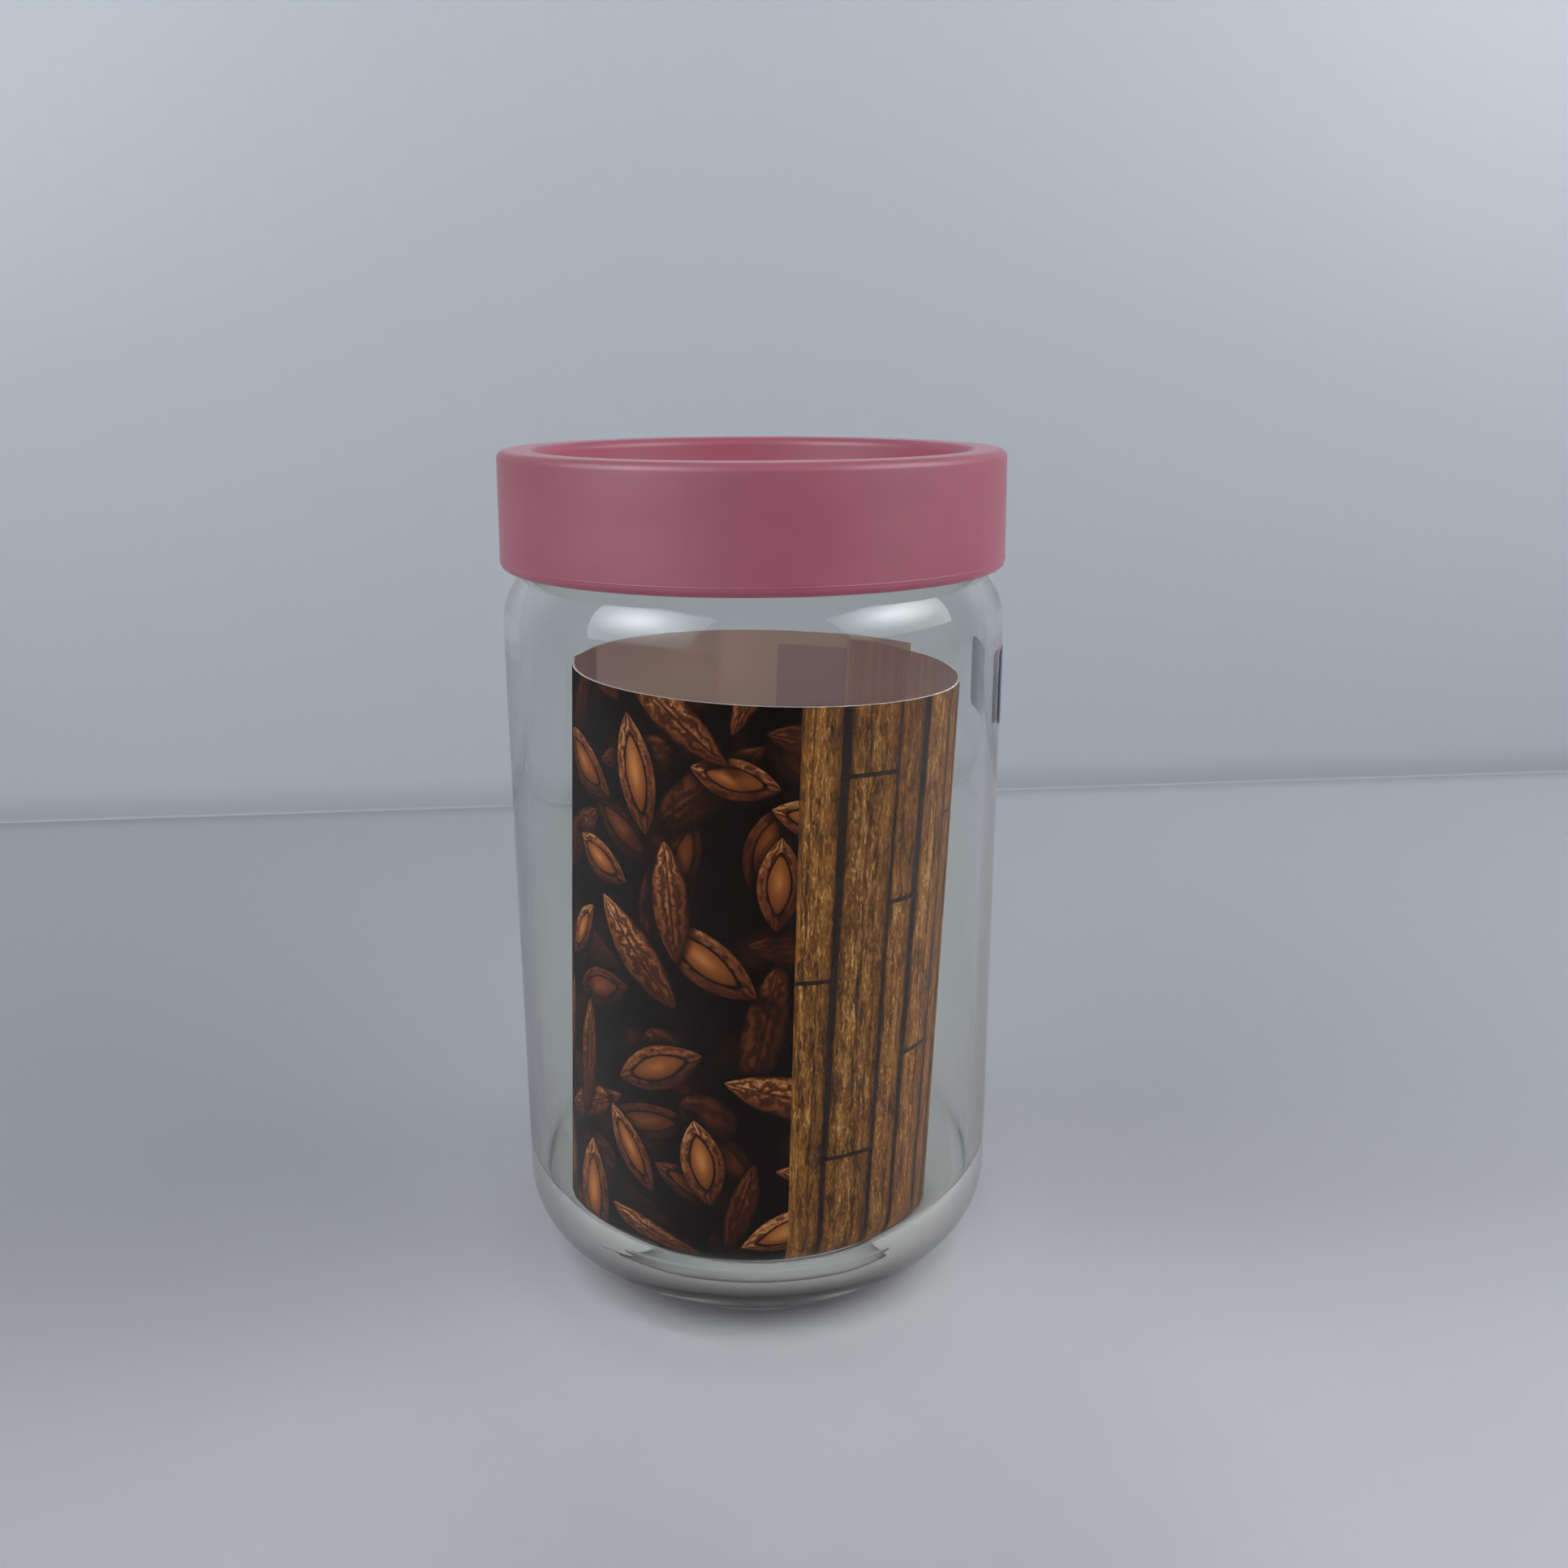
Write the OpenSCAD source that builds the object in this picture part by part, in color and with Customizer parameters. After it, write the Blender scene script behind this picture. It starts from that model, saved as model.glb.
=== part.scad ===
// Glass storage jar with a push-in stacking lid, a seal ring, a loose card
// sleeve standing inside and a small blank side label.
// Millimetres. The origin is on the jar's axis at the level it stands on, +Z is up,
// and -Y is the side with the sleeve's front.

/* [Jar body] */
// Outer diameter of the straight glass wall
jar_d = 92.1; // [86:0.1:100]
// Thickness of the glass wall
jar_wall = 3; // [2.4:0.1:3.6]
// Height at which the straight wall ends and the shoulder starts
body_h = 127.2; // [115:0.1:140]
// Thickness of the glass floor
floor_t = 7.8; // [5:0.1:9]
// Radius of the round between the wall and the sloping heel
heel_round = 14; // [8:0.5:16]
// Angle of the heel's slope from the ground, in degrees
heel_slope = 38.6; // [34:0.2:44]
// Radius of the round between the inner wall and the floor
inner_heel_round = 15.5; // [12:0.5:18]
// Width of the ring that the jar stands on
foot_w = 3.4; // [2:0.1:5]
// Height of the pushed-up underside inside the foot ring
push_up = 1.8; // [0.8:0.1:3]
// Radius of the rounds on the foot ring
foot_round = 1.6; // [0.5:0.1:1.8]

/* [Shoulder and neck] */
// Radius of the shoulder's arc
shoulder_round = 15; // [13:0.5:15]
// Radius of the shoulder's arc inside
inner_shoulder_round = 14; // [12:0.5:15]
// How much lower the wall starts to turn inside than outside
shoulder_drop = 0.5; // [0:0.1:1]
// How far the neck stands in from the wall
shoulder_in = 4.45; // [4.2:0.05:5.2]
// Angle that the shoulder turns inwards, in degrees
shoulder_turn = 44; // [42:1:50]
// Thickness of the glass at the neck
neck_wall = 2.9; // [2.4:0.1:3.4]
// Height of the neck from the shoulder to the mouth
neck_h = 12.9; // [12:0.1:16]
// Round at the root of the neck, outside and inside
neck_root_round = 0.6; // [0.4:0.1:1]
// Round on the lip of the mouth
lip_round = 1.2; // [0.6:0.1:1.3]
// How far the neck's bead stands out
bead_out = 0.7; // [0.4:0.05:1]
// Height of the neck's bead
bead_h = 2.6; // [1.8:0.1:3.4]
// Distance from the mouth down to the middle of the bead
bead_drop = 5.5; // [4.5:0.1:7]

/* [Lid] */
// Height of the lid, from its lower edge to its rim
lid_h = 20.7; // [18:0.1:22]
// Thickness of the skirt
skirt_wall = 1.8; // [1.2:0.1:2.2]
// Thickness of the rim's top
rim_wall = 1.8; // [1.2:0.1:2.4]
// Width of the flat rim round the stacking recess
rim_w = 7.2; // [6.8:0.1:7.8]
// Depth of the stacking recess
recess_depth = 5.5; // [4:0.1:7]
// Thickness of the recess's side wall
recess_wall = 1.6; // [1.2:0.1:2]
// Thickness of the panel in the recess
panel_t = 1.6; // [1.2:0.1:2.4]
// How much the skirt draws in towards the rim
skirt_draft = 0.3; // [0:0.05:0.6]
// Round on the rim's outer edge
rim_round = 1.5; // [1:0.1:2.4]
// Round on the rim's inner edge
crest_round = 1.6; // [0.6:0.1:2.2]
// Round at the bottom of the recess
recess_round = 1.2; // [0.4:0.1:2]
// Round on the skirt's lower edge
skirt_round = 1.5; // [0.6:0.1:1.6]
// How far the moulding line stands out of the skirt
flash_out = 0.12; // [0.05:0.01:0.2]
// Height of the moulding line
flash_h = 0.3; // [0.15:0.05:0.5]
// Height of the plug that goes into the mouth
plug_h = 9.5; // [8.5:0.1:10.5]
// Thickness of the plug's wall
plug_wall = 2.4; // [2:0.1:3]
// Number of centring ribs inside the skirt
rib_count = 24; // [16:1:32]
// Thickness of a rib
rib_t = 1; // [0.8:0.1:1.4]
// How far the ribs stand in from the skirt
rib_in = 1.6; // [1.2:0.1:2]
// Distance from the skirt's lower edge up to the ribs
rib_start = 4.5; // [3:0.1:7]

/* [Seal ring] */
// Depth of the plug's groove
groove_depth = 0.9; // [0.6:0.05:1.2]
// Height of the plug's groove
groove_h = 4.2; // [3.8:0.1:5]
// Distance from the plug's lower end up to the groove
groove_start = 2.2; // [1.6:0.1:3]
// How far the seal's body stands out of the groove
seal_out = 0.3; // [0.1:0.05:0.5]
// Number of sealing fins
fin_count = 3; // [2:1:3]
// Thickness of a fin at its root
fin_root = 0.6; // [0.4:0.05:0.7]
// Thickness of a fin at its tip
fin_tip = 0.3; // [0.2:0.05:0.4]
// How far a fin rises from its root to its tip
fin_rise = 0.35; // [0:0.05:0.5]

/* [Card sleeve] */
// Height of the rolled card
sleeve_h = 107.2; // [95:0.1:112]
// Thickness of the card
card_t = 0.4; // [0.3:0.05:0.6]
// Width of the glued lap
lap_w = 16; // [8:0.5:20]
// Direction of the middle of the lap, in degrees from +X
lap_dir = 47; // [30:1:60]
// How far the sleeve's foot has slid to the left, which makes it lean
sleeve_shift = 2; // [1:0.1:3]

/* [Side label] */
// Width of the label along the glass
label_w = 19; // [10:0.5:24]
// Height of the label
label_h = 13.5; // [8:0.5:18]
// Thickness of the label
label_t = 0.15; // [0.1:0.05:0.3]
// Distance from the shoulder down to the label's upper edge
label_drop = 4.5; // [2:0.5:20]
// Direction of the label's middle, in degrees from +X
label_dir = -4; // [-10:0.5:30]

/* [Fits] */
// Gap between the lid and the mouth it rests on
seat_gap = 0.3; // [0.2:0.05:0.4]
// Gap between the ribs and the neck's bead, and between the fins and the mouth
slip_gap = 0.3; // [0.2:0.05:0.4]
// Gap between the mouth and the plug
plug_gap = 1.9; // [1.5:0.1:2.3]
// Gap round the foot of a jar that is stacked in the recess
stack_gap = 0.3; // [0.2:0.05:0.6]
// Room for the sleeve in the mouth, on each side
sleeve_gap = 2.4; // [2:0.1:3]
// Gap under the sleeve where it stands
stand_gap = 0.3; // [0.2:0.05:0.4]
// Gap above and below the seal in its groove
groove_gap = 0.1; // [0.05:0.05:0.2]

/* [Hidden] */
$fn = 96;

// Finest turn between two points of a round, in degrees
arc_step = 7.5;
// Largest share of a side that the rounds at its two ends may take together
round_share = 0.98;
// How far joined solids run into each other
bite = 0.1;

// Radii of the glass, from the wall inwards
jar_r = jar_d / 2;
inner_r = jar_r - jar_wall;
neck_r = jar_r - shoulder_in;
mouth_r = neck_r - neck_wall;

// Radii of the lid, from the neck that it goes over
skirt_in_r = neck_r + bead_out + slip_gap + rib_in;
lid_r = skirt_in_r + skirt_wall;
recess_r = lid_r - rim_w;
recess_out_r = recess_r + recess_wall;
plug_r = mouth_r - plug_gap;
plug_in_r = plug_r - plug_wall;
groove_r = plug_r - groove_depth;
seal_r = plug_r + seal_out;
fin_r = mouth_r - slip_gap;

// The foot, small enough to nest in the recess of the jar below
foot_r = recess_r - stack_gap - recess_depth / tan(heel_slope);
foot_in_r = foot_r - foot_w;
heel_corner_z = (jar_r - foot_r) * tan(heel_slope);

// Heights of the shoulder and neck, outside and inside
shoulder_z = body_h + shoulder_round * tan(shoulder_turn / 2);
neck_root_z = shoulder_z + shoulder_in / tan(shoulder_turn);
rim_z = neck_root_z + neck_h;
inner_shoulder_z = body_h - shoulder_drop + inner_shoulder_round * tan(shoulder_turn / 2);
inner_root_z = inner_shoulder_z + (inner_r - mouth_r) / tan(shoulder_turn);
bead_z = rim_z - bead_drop;

// Heights of the lid, which hangs from the mouth
under_z = rim_z + seat_gap;
panel_z = under_z + panel_t;
lid_top_z = panel_z + recess_depth;
lid_low_z = lid_top_z - lid_h;
channel_z = lid_top_z - rim_wall;
flash_z = lid_low_z + skirt_round + flash_h / 2;
plug_low_z = under_z - plug_h;
groove_low_z = plug_low_z + groove_start;
groove_high_z = groove_low_z + groove_h;
plug_round = plug_wall / 4;

// The seal, and the step from one fin to the next
seal_low_z = groove_low_z + groove_gap;
seal_high_z = groove_high_z - groove_gap;
fin_pitch = (seal_high_z - seal_low_z - fin_rise) / fin_count;

// The sleeve's radii, and its lean where its foot rides up the rounded floor
sleeve_r = mouth_r - sleeve_gap;
sleeve_out_r = sleeve_r + card_t;
floor_flat_r = inner_r - inner_heel_round;
sleeve_rise_left = floor_rise(sleeve_out_r + sleeve_shift);
sleeve_rise_right = floor_rise(sleeve_out_r - sleeve_shift);
sleeve_lean = asin((sleeve_rise_left - sleeve_rise_right) / (2 * sleeve_out_r));
sleeve_z = floor_t + stand_gap + (sleeve_rise_left + sleeve_rise_right) / 2;
lap_angle = lap_w / sleeve_r * 180 / PI;

// The label on the wall
label_z = body_h - label_drop - label_h;
label_angle = label_w / jar_r * 180 / PI;

// Height of the rounded floor above its flat middle, at a distance from the axis
function floor_rise(r) =
    r <= floor_flat_r ? 0
    : inner_heel_round - sqrt(pow(inner_heel_round, 2) - pow(r - floor_flat_r, 2));

function flat(p) = [p[0], p[1]];
function unit(v) = v / norm(v);
function turn_sign(u, v) = u[0] * v[1] - u[1] * v[0] > 0 ? 1 : -1;

// Length that a round takes from each side of its corner b, if nothing limits it
function full_reach(a, b, c, radius) =
    radius == 0 ? 0
    : radius / tan(acos(max(-1, min(1, unit(a - b) * unit(c - b)))) / 2);

// The same where the round at the side's other end needs room too
function shared_reach(side, own, other) =
    own == 0 ? 0 : min(own, round_share * side * own / (own + other));

// Points of the round at corner b between a and c, or b itself where it stays sharp
function corner(a, b, c, reach) =
    reach == 0 ? [b]
    : let(
        u = unit(a - b),
        v = unit(c - b),
        half = acos(max(-1, min(1, u * v))) / 2,
        centre = b + unit(u + v) * reach / cos(half),
        from = b + u * reach - centre,
        start = atan2(from[1], from[0]),
        sweep = turn_sign(-u, v) * (180 - 2 * half),
        steps = max(2, ceil(abs(sweep) / arc_step))
    )
    [for (i = [0 : steps]) centre + norm(from) * [cos(start + sweep * i / steps), sin(start + sweep * i / steps)]];

// Outline through corners given as [radius from the axis, height, round]
function rounded(corners) =
    let(
        count = len(corners),
        p = [for (c = corners) flat(c)],
        before = [for (i = [0 : count - 1]) (i + count - 1) % count],
        after = [for (i = [0 : count - 1]) (i + 1) % count],
        full = [for (i = [0 : count - 1]) full_reach(p[before[i]], p[i], p[after[i]], corners[i][2])]
    )
    [for (i = [0 : count - 1])
        each corner(p[before[i]], p[i], p[after[i]], min(
            shared_reach(norm(p[before[i]] - p[i]), full[i], full[before[i]]),
            shared_reach(norm(p[after[i]] - p[i]), full[i], full[after[i]])
        ))];

module turned(corners) {
    rotate_extrude() polygon(rounded(corners));
}

// Glass: a thick floor on a foot ring, a sloping heel, a straight wall, and a neck
// with a bead below its lip
module glass_jar() {
    color([0.78, 0.86, 0.84, 0.45])
    turned([
        [0, push_up, 0],
        [foot_in_r - push_up, push_up, foot_round],
        [foot_in_r, 0, foot_round / 2],
        [foot_r, 0, foot_round],
        [jar_r, heel_corner_z, heel_round],
        [jar_r, shoulder_z, shoulder_round],
        [neck_r, neck_root_z, neck_root_round],
        [neck_r, bead_z - bead_h / 2, bead_out / 2],
        [neck_r + bead_out, bead_z - bead_h / 2 + bead_out, bead_out / 2],
        [neck_r + bead_out, bead_z + bead_h / 2 - bead_out, bead_out / 2],
        [neck_r, bead_z + bead_h / 2, bead_out / 2],
        [neck_r, rim_z, lip_round],
        [mouth_r, rim_z, lip_round],
        [mouth_r, inner_root_z, neck_root_round],
        [inner_r, inner_shoulder_z, inner_shoulder_round],
        [inner_r, floor_t, inner_heel_round],
        [0, floor_t, 0]
    ]);
}

// The lid's shell: panel, plug with its groove, hollow rim, skirt and stacking recess
module lid_shell() {
    turned([
        [0, under_z, 0],
        [plug_in_r, under_z, plug_round],
        [plug_in_r, plug_low_z, plug_round],
        [plug_r, plug_low_z, plug_round],
        [plug_r, groove_low_z, 0],
        [groove_r, groove_low_z, 0],
        [groove_r, groove_high_z, 0],
        [plug_r, groove_high_z, 0],
        [plug_r, under_z, 0],
        [recess_out_r, under_z, plug_round],
        [recess_out_r, channel_z, plug_round],
        [skirt_in_r, channel_z, plug_round],
        [skirt_in_r, lid_low_z, skirt_wall / 4],
        [lid_r, lid_low_z, skirt_round],
        [lid_r, flash_z - flash_h / 2, 0],
        [lid_r + flash_out, flash_z, 0],
        [lid_r, flash_z + flash_h / 2, 0],
        [lid_r - skirt_draft, lid_top_z, rim_round],
        [recess_r, lid_top_z, crest_round],
        [recess_r, panel_z, recess_round],
        [0, panel_z, 0]
    ]);
}

// One rib: it centres the skirt on the neck's bead and ties the hollow rim together
module lid_rib() {
    rib_low_z = lid_low_z + rib_start;
    rotate([90, 0, 0])
    linear_extrude(height = rib_t, center = true)
    polygon([
        [skirt_in_r + bite, rib_low_z],
        [skirt_in_r, rib_low_z],
        [skirt_in_r - rib_in, rib_low_z + rib_in],
        [skirt_in_r - rib_in, under_z + seat_gap],
        [recess_out_r - bite, under_z + seat_gap],
        [recess_out_r - bite, channel_z + bite],
        [skirt_in_r + bite, channel_z + bite]
    ]);
}

module lid() {
    color([0.80, 0.45, 0.53])
    union() {
        lid_shell();
        for (i = [0 : rib_count - 1])
            rotate([0, 0, i * 360 / rib_count]) lid_rib();
    }
}

// The soft ring in the plug's groove, with upturned fins that wipe the mouth
module seal_ring() {
    color([0.90, 0.90, 0.88, 0.8])
    rotate_extrude()
    polygon(concat(
        [[groove_r, seal_low_z], [seal_r, seal_low_z]],
        [for (i = [0 : fin_count - 1])
            let(root_z = seal_low_z + i * fin_pitch)
            each [
                [seal_r, root_z + fin_tip / 2],
                [fin_r, root_z + fin_tip / 2 + fin_rise],
                [fin_r, root_z + fin_tip * 3 / 2 + fin_rise],
                [seal_r, root_z + fin_tip / 2 + fin_root]
            ]],
        [[seal_r, seal_high_z], [groove_r, seal_high_z]]
    ));
}

// Flat ring between two radii
module ring(inner, outer) {
    difference() {
        circle(r = outer);
        circle(r = inner);
    }
}

// Flat wedge that reaches past a radius, centred on a direction
module wedge(reach, dir, angle) {
    rotate(dir)
    polygon([
        [0, 0],
        2 * reach * [cos(angle / 2), -sin(angle / 2)],
        2 * reach * [cos(angle / 2), sin(angle / 2)]
    ]);
}

// Printed card rolled into a tube and glued along a lap, leaning a little to the right
module card_sleeve() {
    color([0.36, 0.20, 0.12])
    translate([-sleeve_shift, 0, sleeve_z])
    rotate([0, sleeve_lean, 0])
    linear_extrude(height = sleeve_h)
    union() {
        ring(sleeve_r - card_t, sleeve_r);
        intersection() {
            ring(sleeve_r - card_t / 2, sleeve_out_r);
            wedge(sleeve_out_r, lap_dir, lap_angle);
        }
    }
}

// Blank label, stuck on the wall
module side_label() {
    color([0.16, 0.14, 0.22])
    rotate([0, 0, label_dir - label_angle / 2])
    rotate_extrude(angle = label_angle)
    translate([jar_r, label_z])
    square([label_t, label_h]);
}

glass_jar();
lid();
seal_ring();
card_sleeve();
side_label();
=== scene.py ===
import math
import random

import bmesh
import bpy
from mathutils import Matrix, Vector


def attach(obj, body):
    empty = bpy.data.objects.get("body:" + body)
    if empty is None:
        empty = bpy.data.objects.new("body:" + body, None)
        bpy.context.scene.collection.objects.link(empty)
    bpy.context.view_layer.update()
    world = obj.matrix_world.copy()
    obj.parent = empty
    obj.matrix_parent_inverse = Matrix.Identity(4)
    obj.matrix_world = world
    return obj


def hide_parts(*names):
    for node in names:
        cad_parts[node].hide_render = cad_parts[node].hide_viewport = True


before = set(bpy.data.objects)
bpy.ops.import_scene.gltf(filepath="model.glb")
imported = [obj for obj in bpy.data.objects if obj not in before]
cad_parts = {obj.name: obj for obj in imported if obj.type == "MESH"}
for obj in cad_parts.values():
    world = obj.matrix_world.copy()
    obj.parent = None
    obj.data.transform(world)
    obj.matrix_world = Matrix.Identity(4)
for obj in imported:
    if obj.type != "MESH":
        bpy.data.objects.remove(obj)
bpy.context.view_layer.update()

MM = 0.001
FULL_TURN = 2 * math.pi

# Jar body
JAR_R = 46.05
JAR_WALL = 3.0
BODY_H = 127.2
FLOOR_T = 7.8
HEEL_ROUND = 14.0
HEEL_SLOPE = math.radians(38.6)
INNER_HEEL_ROUND = 15.5
FOOT_W = 3.4
PUSH_UP = 1.8
FOOT_ROUND = 1.6

# Shoulder and neck
SHOULDER_ROUND = 15.0
SHOULDER_IN = 4.45
SHOULDER_TURN = math.radians(44)
INNER_SHOULDER_ROUND = 14.0
SHOULDER_DROP = 0.5
NECK_WALL = 2.9
NECK_H = 12.9
NECK_ROOT_ROUND = 0.6
LIP_ROUND = 1.2
BEAD_OUT = 0.7
BEAD_H = 2.6
BEAD_DROP = 5.5

# Lid
LID_H = 20.7
SKIRT_WALL = 1.8
RIM_WALL = 1.8
RIM_W = 7.2
RECESS_DEPTH = 5.5
RECESS_WALL = 1.6
PANEL_T = 1.6
SKIRT_DRAFT = 0.3
RIM_ROUND = 1.5
CREST_ROUND = 1.6
RECESS_ROUND = 1.2
SKIRT_ROUND = 1.5
FLASH_OUT = 0.12
FLASH_H = 0.3
PLUG_H = 9.5
PLUG_WALL = 2.4
RIB_COUNT = 24
RIB_T = 1.0
RIB_IN = 1.6
RIB_START = 4.5

# Seal ring
GROOVE_DEPTH = 0.9
GROOVE_H = 4.2
GROOVE_START = 2.2
SEAL_OUT = 0.3
FIN_COUNT = 3
FIN_ROOT = 0.6
FIN_TIP = 0.3
FIN_RISE = 0.35

# Card sleeve
SLEEVE_H = 107.2
CARD_T = 0.4
LAP_W = 16.0
LAP_DIR = math.radians(47)
SLEEVE_SHIFT = 2.0

# Side label
LABEL_W = 19.0
LABEL_H = 13.5
LABEL_T = 0.15
LABEL_DROP = 4.5
LABEL_DIR = math.radians(-4)

# Fits
SEAT_GAP = 0.3
SLIP_GAP = 0.3
PLUG_GAP = 1.9
STACK_GAP = 0.3
SLEEVE_GAP = 2.4
STAND_GAP = 0.3
GROOVE_GAP = 0.1

# Radii that follow from these, from the wall inwards
INNER_R = JAR_R - JAR_WALL
NECK_R = JAR_R - SHOULDER_IN
MOUTH_R = NECK_R - NECK_WALL
SKIRT_IN_R = NECK_R + BEAD_OUT + SLIP_GAP + RIB_IN
LID_R = SKIRT_IN_R + SKIRT_WALL
RECESS_R = LID_R - RIM_W
RECESS_OUT_R = RECESS_R + RECESS_WALL
PLUG_R = MOUTH_R - PLUG_GAP
PLUG_IN_R = PLUG_R - PLUG_WALL
GROOVE_R = PLUG_R - GROOVE_DEPTH
SEAL_R = PLUG_R + SEAL_OUT
FIN_R = MOUTH_R - SLIP_GAP
FOOT_R = RECESS_R - STACK_GAP - RECESS_DEPTH / math.tan(HEEL_SLOPE)
FOOT_IN_R = FOOT_R - FOOT_W
SLEEVE_R = MOUTH_R - SLEEVE_GAP

# Heights that follow from these, from the table upwards
HEEL_CORNER_Z = (JAR_R - FOOT_R) * math.tan(HEEL_SLOPE)
SHOULDER_Z = BODY_H + SHOULDER_ROUND * math.tan(SHOULDER_TURN / 2)
NECK_ROOT_Z = SHOULDER_Z + SHOULDER_IN / math.tan(SHOULDER_TURN)
RIM_Z = NECK_ROOT_Z + NECK_H
INNER_SHOULDER_Z = BODY_H - SHOULDER_DROP + INNER_SHOULDER_ROUND * math.tan(SHOULDER_TURN / 2)
INNER_ROOT_Z = INNER_SHOULDER_Z + (INNER_R - MOUTH_R) / math.tan(SHOULDER_TURN)
BEAD_Z = RIM_Z - BEAD_DROP
UNDER_Z = RIM_Z + SEAT_GAP
PANEL_Z = UNDER_Z + PANEL_T
LID_TOP_Z = PANEL_Z + RECESS_DEPTH
LID_LOW_Z = LID_TOP_Z - LID_H
CHANNEL_Z = LID_TOP_Z - RIM_WALL
FLASH_Z = LID_LOW_Z + SKIRT_ROUND + FLASH_H / 2
PLUG_LOW_Z = UNDER_Z - PLUG_H
GROOVE_LOW_Z = PLUG_LOW_Z + GROOVE_START
GROOVE_HIGH_Z = GROOVE_LOW_Z + GROOVE_H
PLUG_ROUND = PLUG_WALL / 4
LABEL_Z = BODY_H - LABEL_DROP - LABEL_H

# How finely outlines are turned
ROUND_SHARE = 0.98
ARC_STEP = math.radians(4)
SIDE_STEP = 1.6
SEGMENTS = 224
SHARP_ANGLE = math.radians(30)


# Outlines and meshes

def half_angle(a, b, c):
    """Half of the angle at corner b."""
    return math.acos(max(-1, min(1, (a - b).normalized().dot((c - b).normalized())))) / 2


def shared_reach(side, own, other):
    """How far a round may reach along a side that it shares with the next round."""
    return min(own, ROUND_SHARE * side * own / (own + other)) if own else 0


def corner_points(a, b, c, reach):
    """Points of the round at corner b between a and c, or b itself where it stays sharp."""
    if reach == 0:
        return [b]
    u = (a - b).normalized()
    v = (c - b).normalized()
    half = half_angle(a, b, c)
    centre = b + (u + v).normalized() * reach / math.cos(half)
    first = b + u * reach - centre
    start = math.atan2(first.y, first.x)
    sweep = math.copysign(math.pi - 2 * half, u.y * v.x - u.x * v.y)
    steps = max(3, math.ceil(abs(sweep) / ARC_STEP))
    turns = [start + sweep * i / steps for i in range(steps + 1)]
    return [centre + first.length * Vector((math.cos(t), math.sin(t))) for t in turns]


def outline(corners, side_step=SIDE_STEP):
    """A closed outline through corners given as (radius, height, round), its long sides divided."""
    flat = [Vector(c[:2]) for c in corners]
    after = flat[1:] + flat[:1]
    full = [c[2] / math.tan(half_angle(flat[i - 1], flat[i], after[i])) for i, c in enumerate(corners)]
    points = []
    for i, p in enumerate(flat):
        before = shared_reach((flat[i - 1] - p).length, full[i], full[i - 1])
        beyond = shared_reach((after[i] - p).length, full[i], full[(i + 1) % len(full)])
        points += corner_points(flat[i - 1], p, after[i], min(before, beyond))
    divided = []
    for i, p in enumerate(points):
        q = points[(i + 1) % len(points)]
        on_axis = p.x < side_step / 100 and q.x < side_step / 100
        parts = 1 if on_axis else max(1, math.ceil((q - p).length / side_step))
        divided += [p.lerp(q, k / parts) for k in range(parts)]
    return divided


def new_object(name, data):
    made = bpy.data.objects.new(name, data)
    bpy.context.scene.collection.objects.link(made)
    return made


def new_piece(mesh, body, slot, *nodes):
    piece = new_object(mesh.name, mesh)
    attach(piece, body)
    if nodes:
        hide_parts(*nodes)
    return piece


def finish_mesh(name, verts, faces, sharp=SHARP_ANGLE):
    """A clean mesh in metres from points in millimetres, with outward normals and smooth rounds."""
    mesh = bpy.data.meshes.new(name)
    mesh.from_pydata([Vector(v) * MM for v in verts], [], faces)
    work = bmesh.new()
    work.from_mesh(mesh)
    bmesh.ops.remove_doubles(work, verts=work.verts, dist=MM / 1000)
    bmesh.ops.recalc_face_normals(work, faces=work.faces)
    work.to_mesh(mesh)
    work.free()
    mesh.shade_smooth()
    mesh.set_sharp_from_angle(angle=sharp)
    return mesh


def turned_mesh(name, points, shape=None, segments=SEGMENTS):
    """The outline turned round the Z axis; shape may move a point given as (radius, height, turn)."""
    verts = []
    for p in points:
        for k in range(segments):
            turn = FULL_TURN * k / segments
            r, z = shape(p.x, p.y, turn) if shape else (p.x, p.y)
            verts.append((r * math.cos(turn), r * math.sin(turn), z))
    faces = []
    for i, p in enumerate(points):
        j = (i + 1) % len(points)
        if p.x < MM and points[j].x < MM:
            continue
        for k in range(segments):
            n = (k + 1) % segments
            faces.append((i * segments + k, i * segments + n, j * segments + n, j * segments + k))
    return finish_mesh(name, verts, faces)


# Nodes of materials

def put(tree, socket, value):
    if isinstance(value, bpy.types.NodeSocket):
        tree.links.new(value, socket)
    else:
        socket.default_value = value


def add(tree, kind, inputs=(), **settings):
    made = tree.nodes.new(kind)
    for key, value in settings.items():
        setattr(made, key, value)
    for key, value in dict(inputs).items():
        put(tree, made.inputs[key], value)
    return made


def calc(tree, operation, *values, clamp=False):
    return add(tree, "ShaderNodeMath", enumerate(values), operation=operation, use_clamp=clamp).outputs[0]


def plus(tree, a, b):
    return calc(tree, "ADD", a, b)


def minus(tree, a, b):
    return calc(tree, "SUBTRACT", a, b)


def times(tree, *values):
    """The product of two or more values."""
    made = values[0]
    for value in values[1:]:
        made = calc(tree, "MULTIPLY", made, value)
    return made


def scale_add(tree, value, scale, offset):
    return calc(tree, "MULTIPLY_ADD", value, scale, offset)


def size_of(tree, value):
    return calc(tree, "ABSOLUTE", value)


def far_off(tree, x, y):
    """How far a place is from the middle."""
    return calc(tree, "SQRT", plus(tree, times(tree, x, x), times(tree, y, y)))


def rest_of_one(tree, value):
    """What is left of 1, and never less than 0."""
    return calc(tree, "SUBTRACT", 1.0, value, clamp=True)


def is_over(tree, value, limit):
    return calc(tree, "GREATER_THAN", value, limit)


def vector_calc(tree, operation, *values):
    return add(tree, "ShaderNodeVectorMath", enumerate(values), operation=operation).outputs[0]


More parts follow.
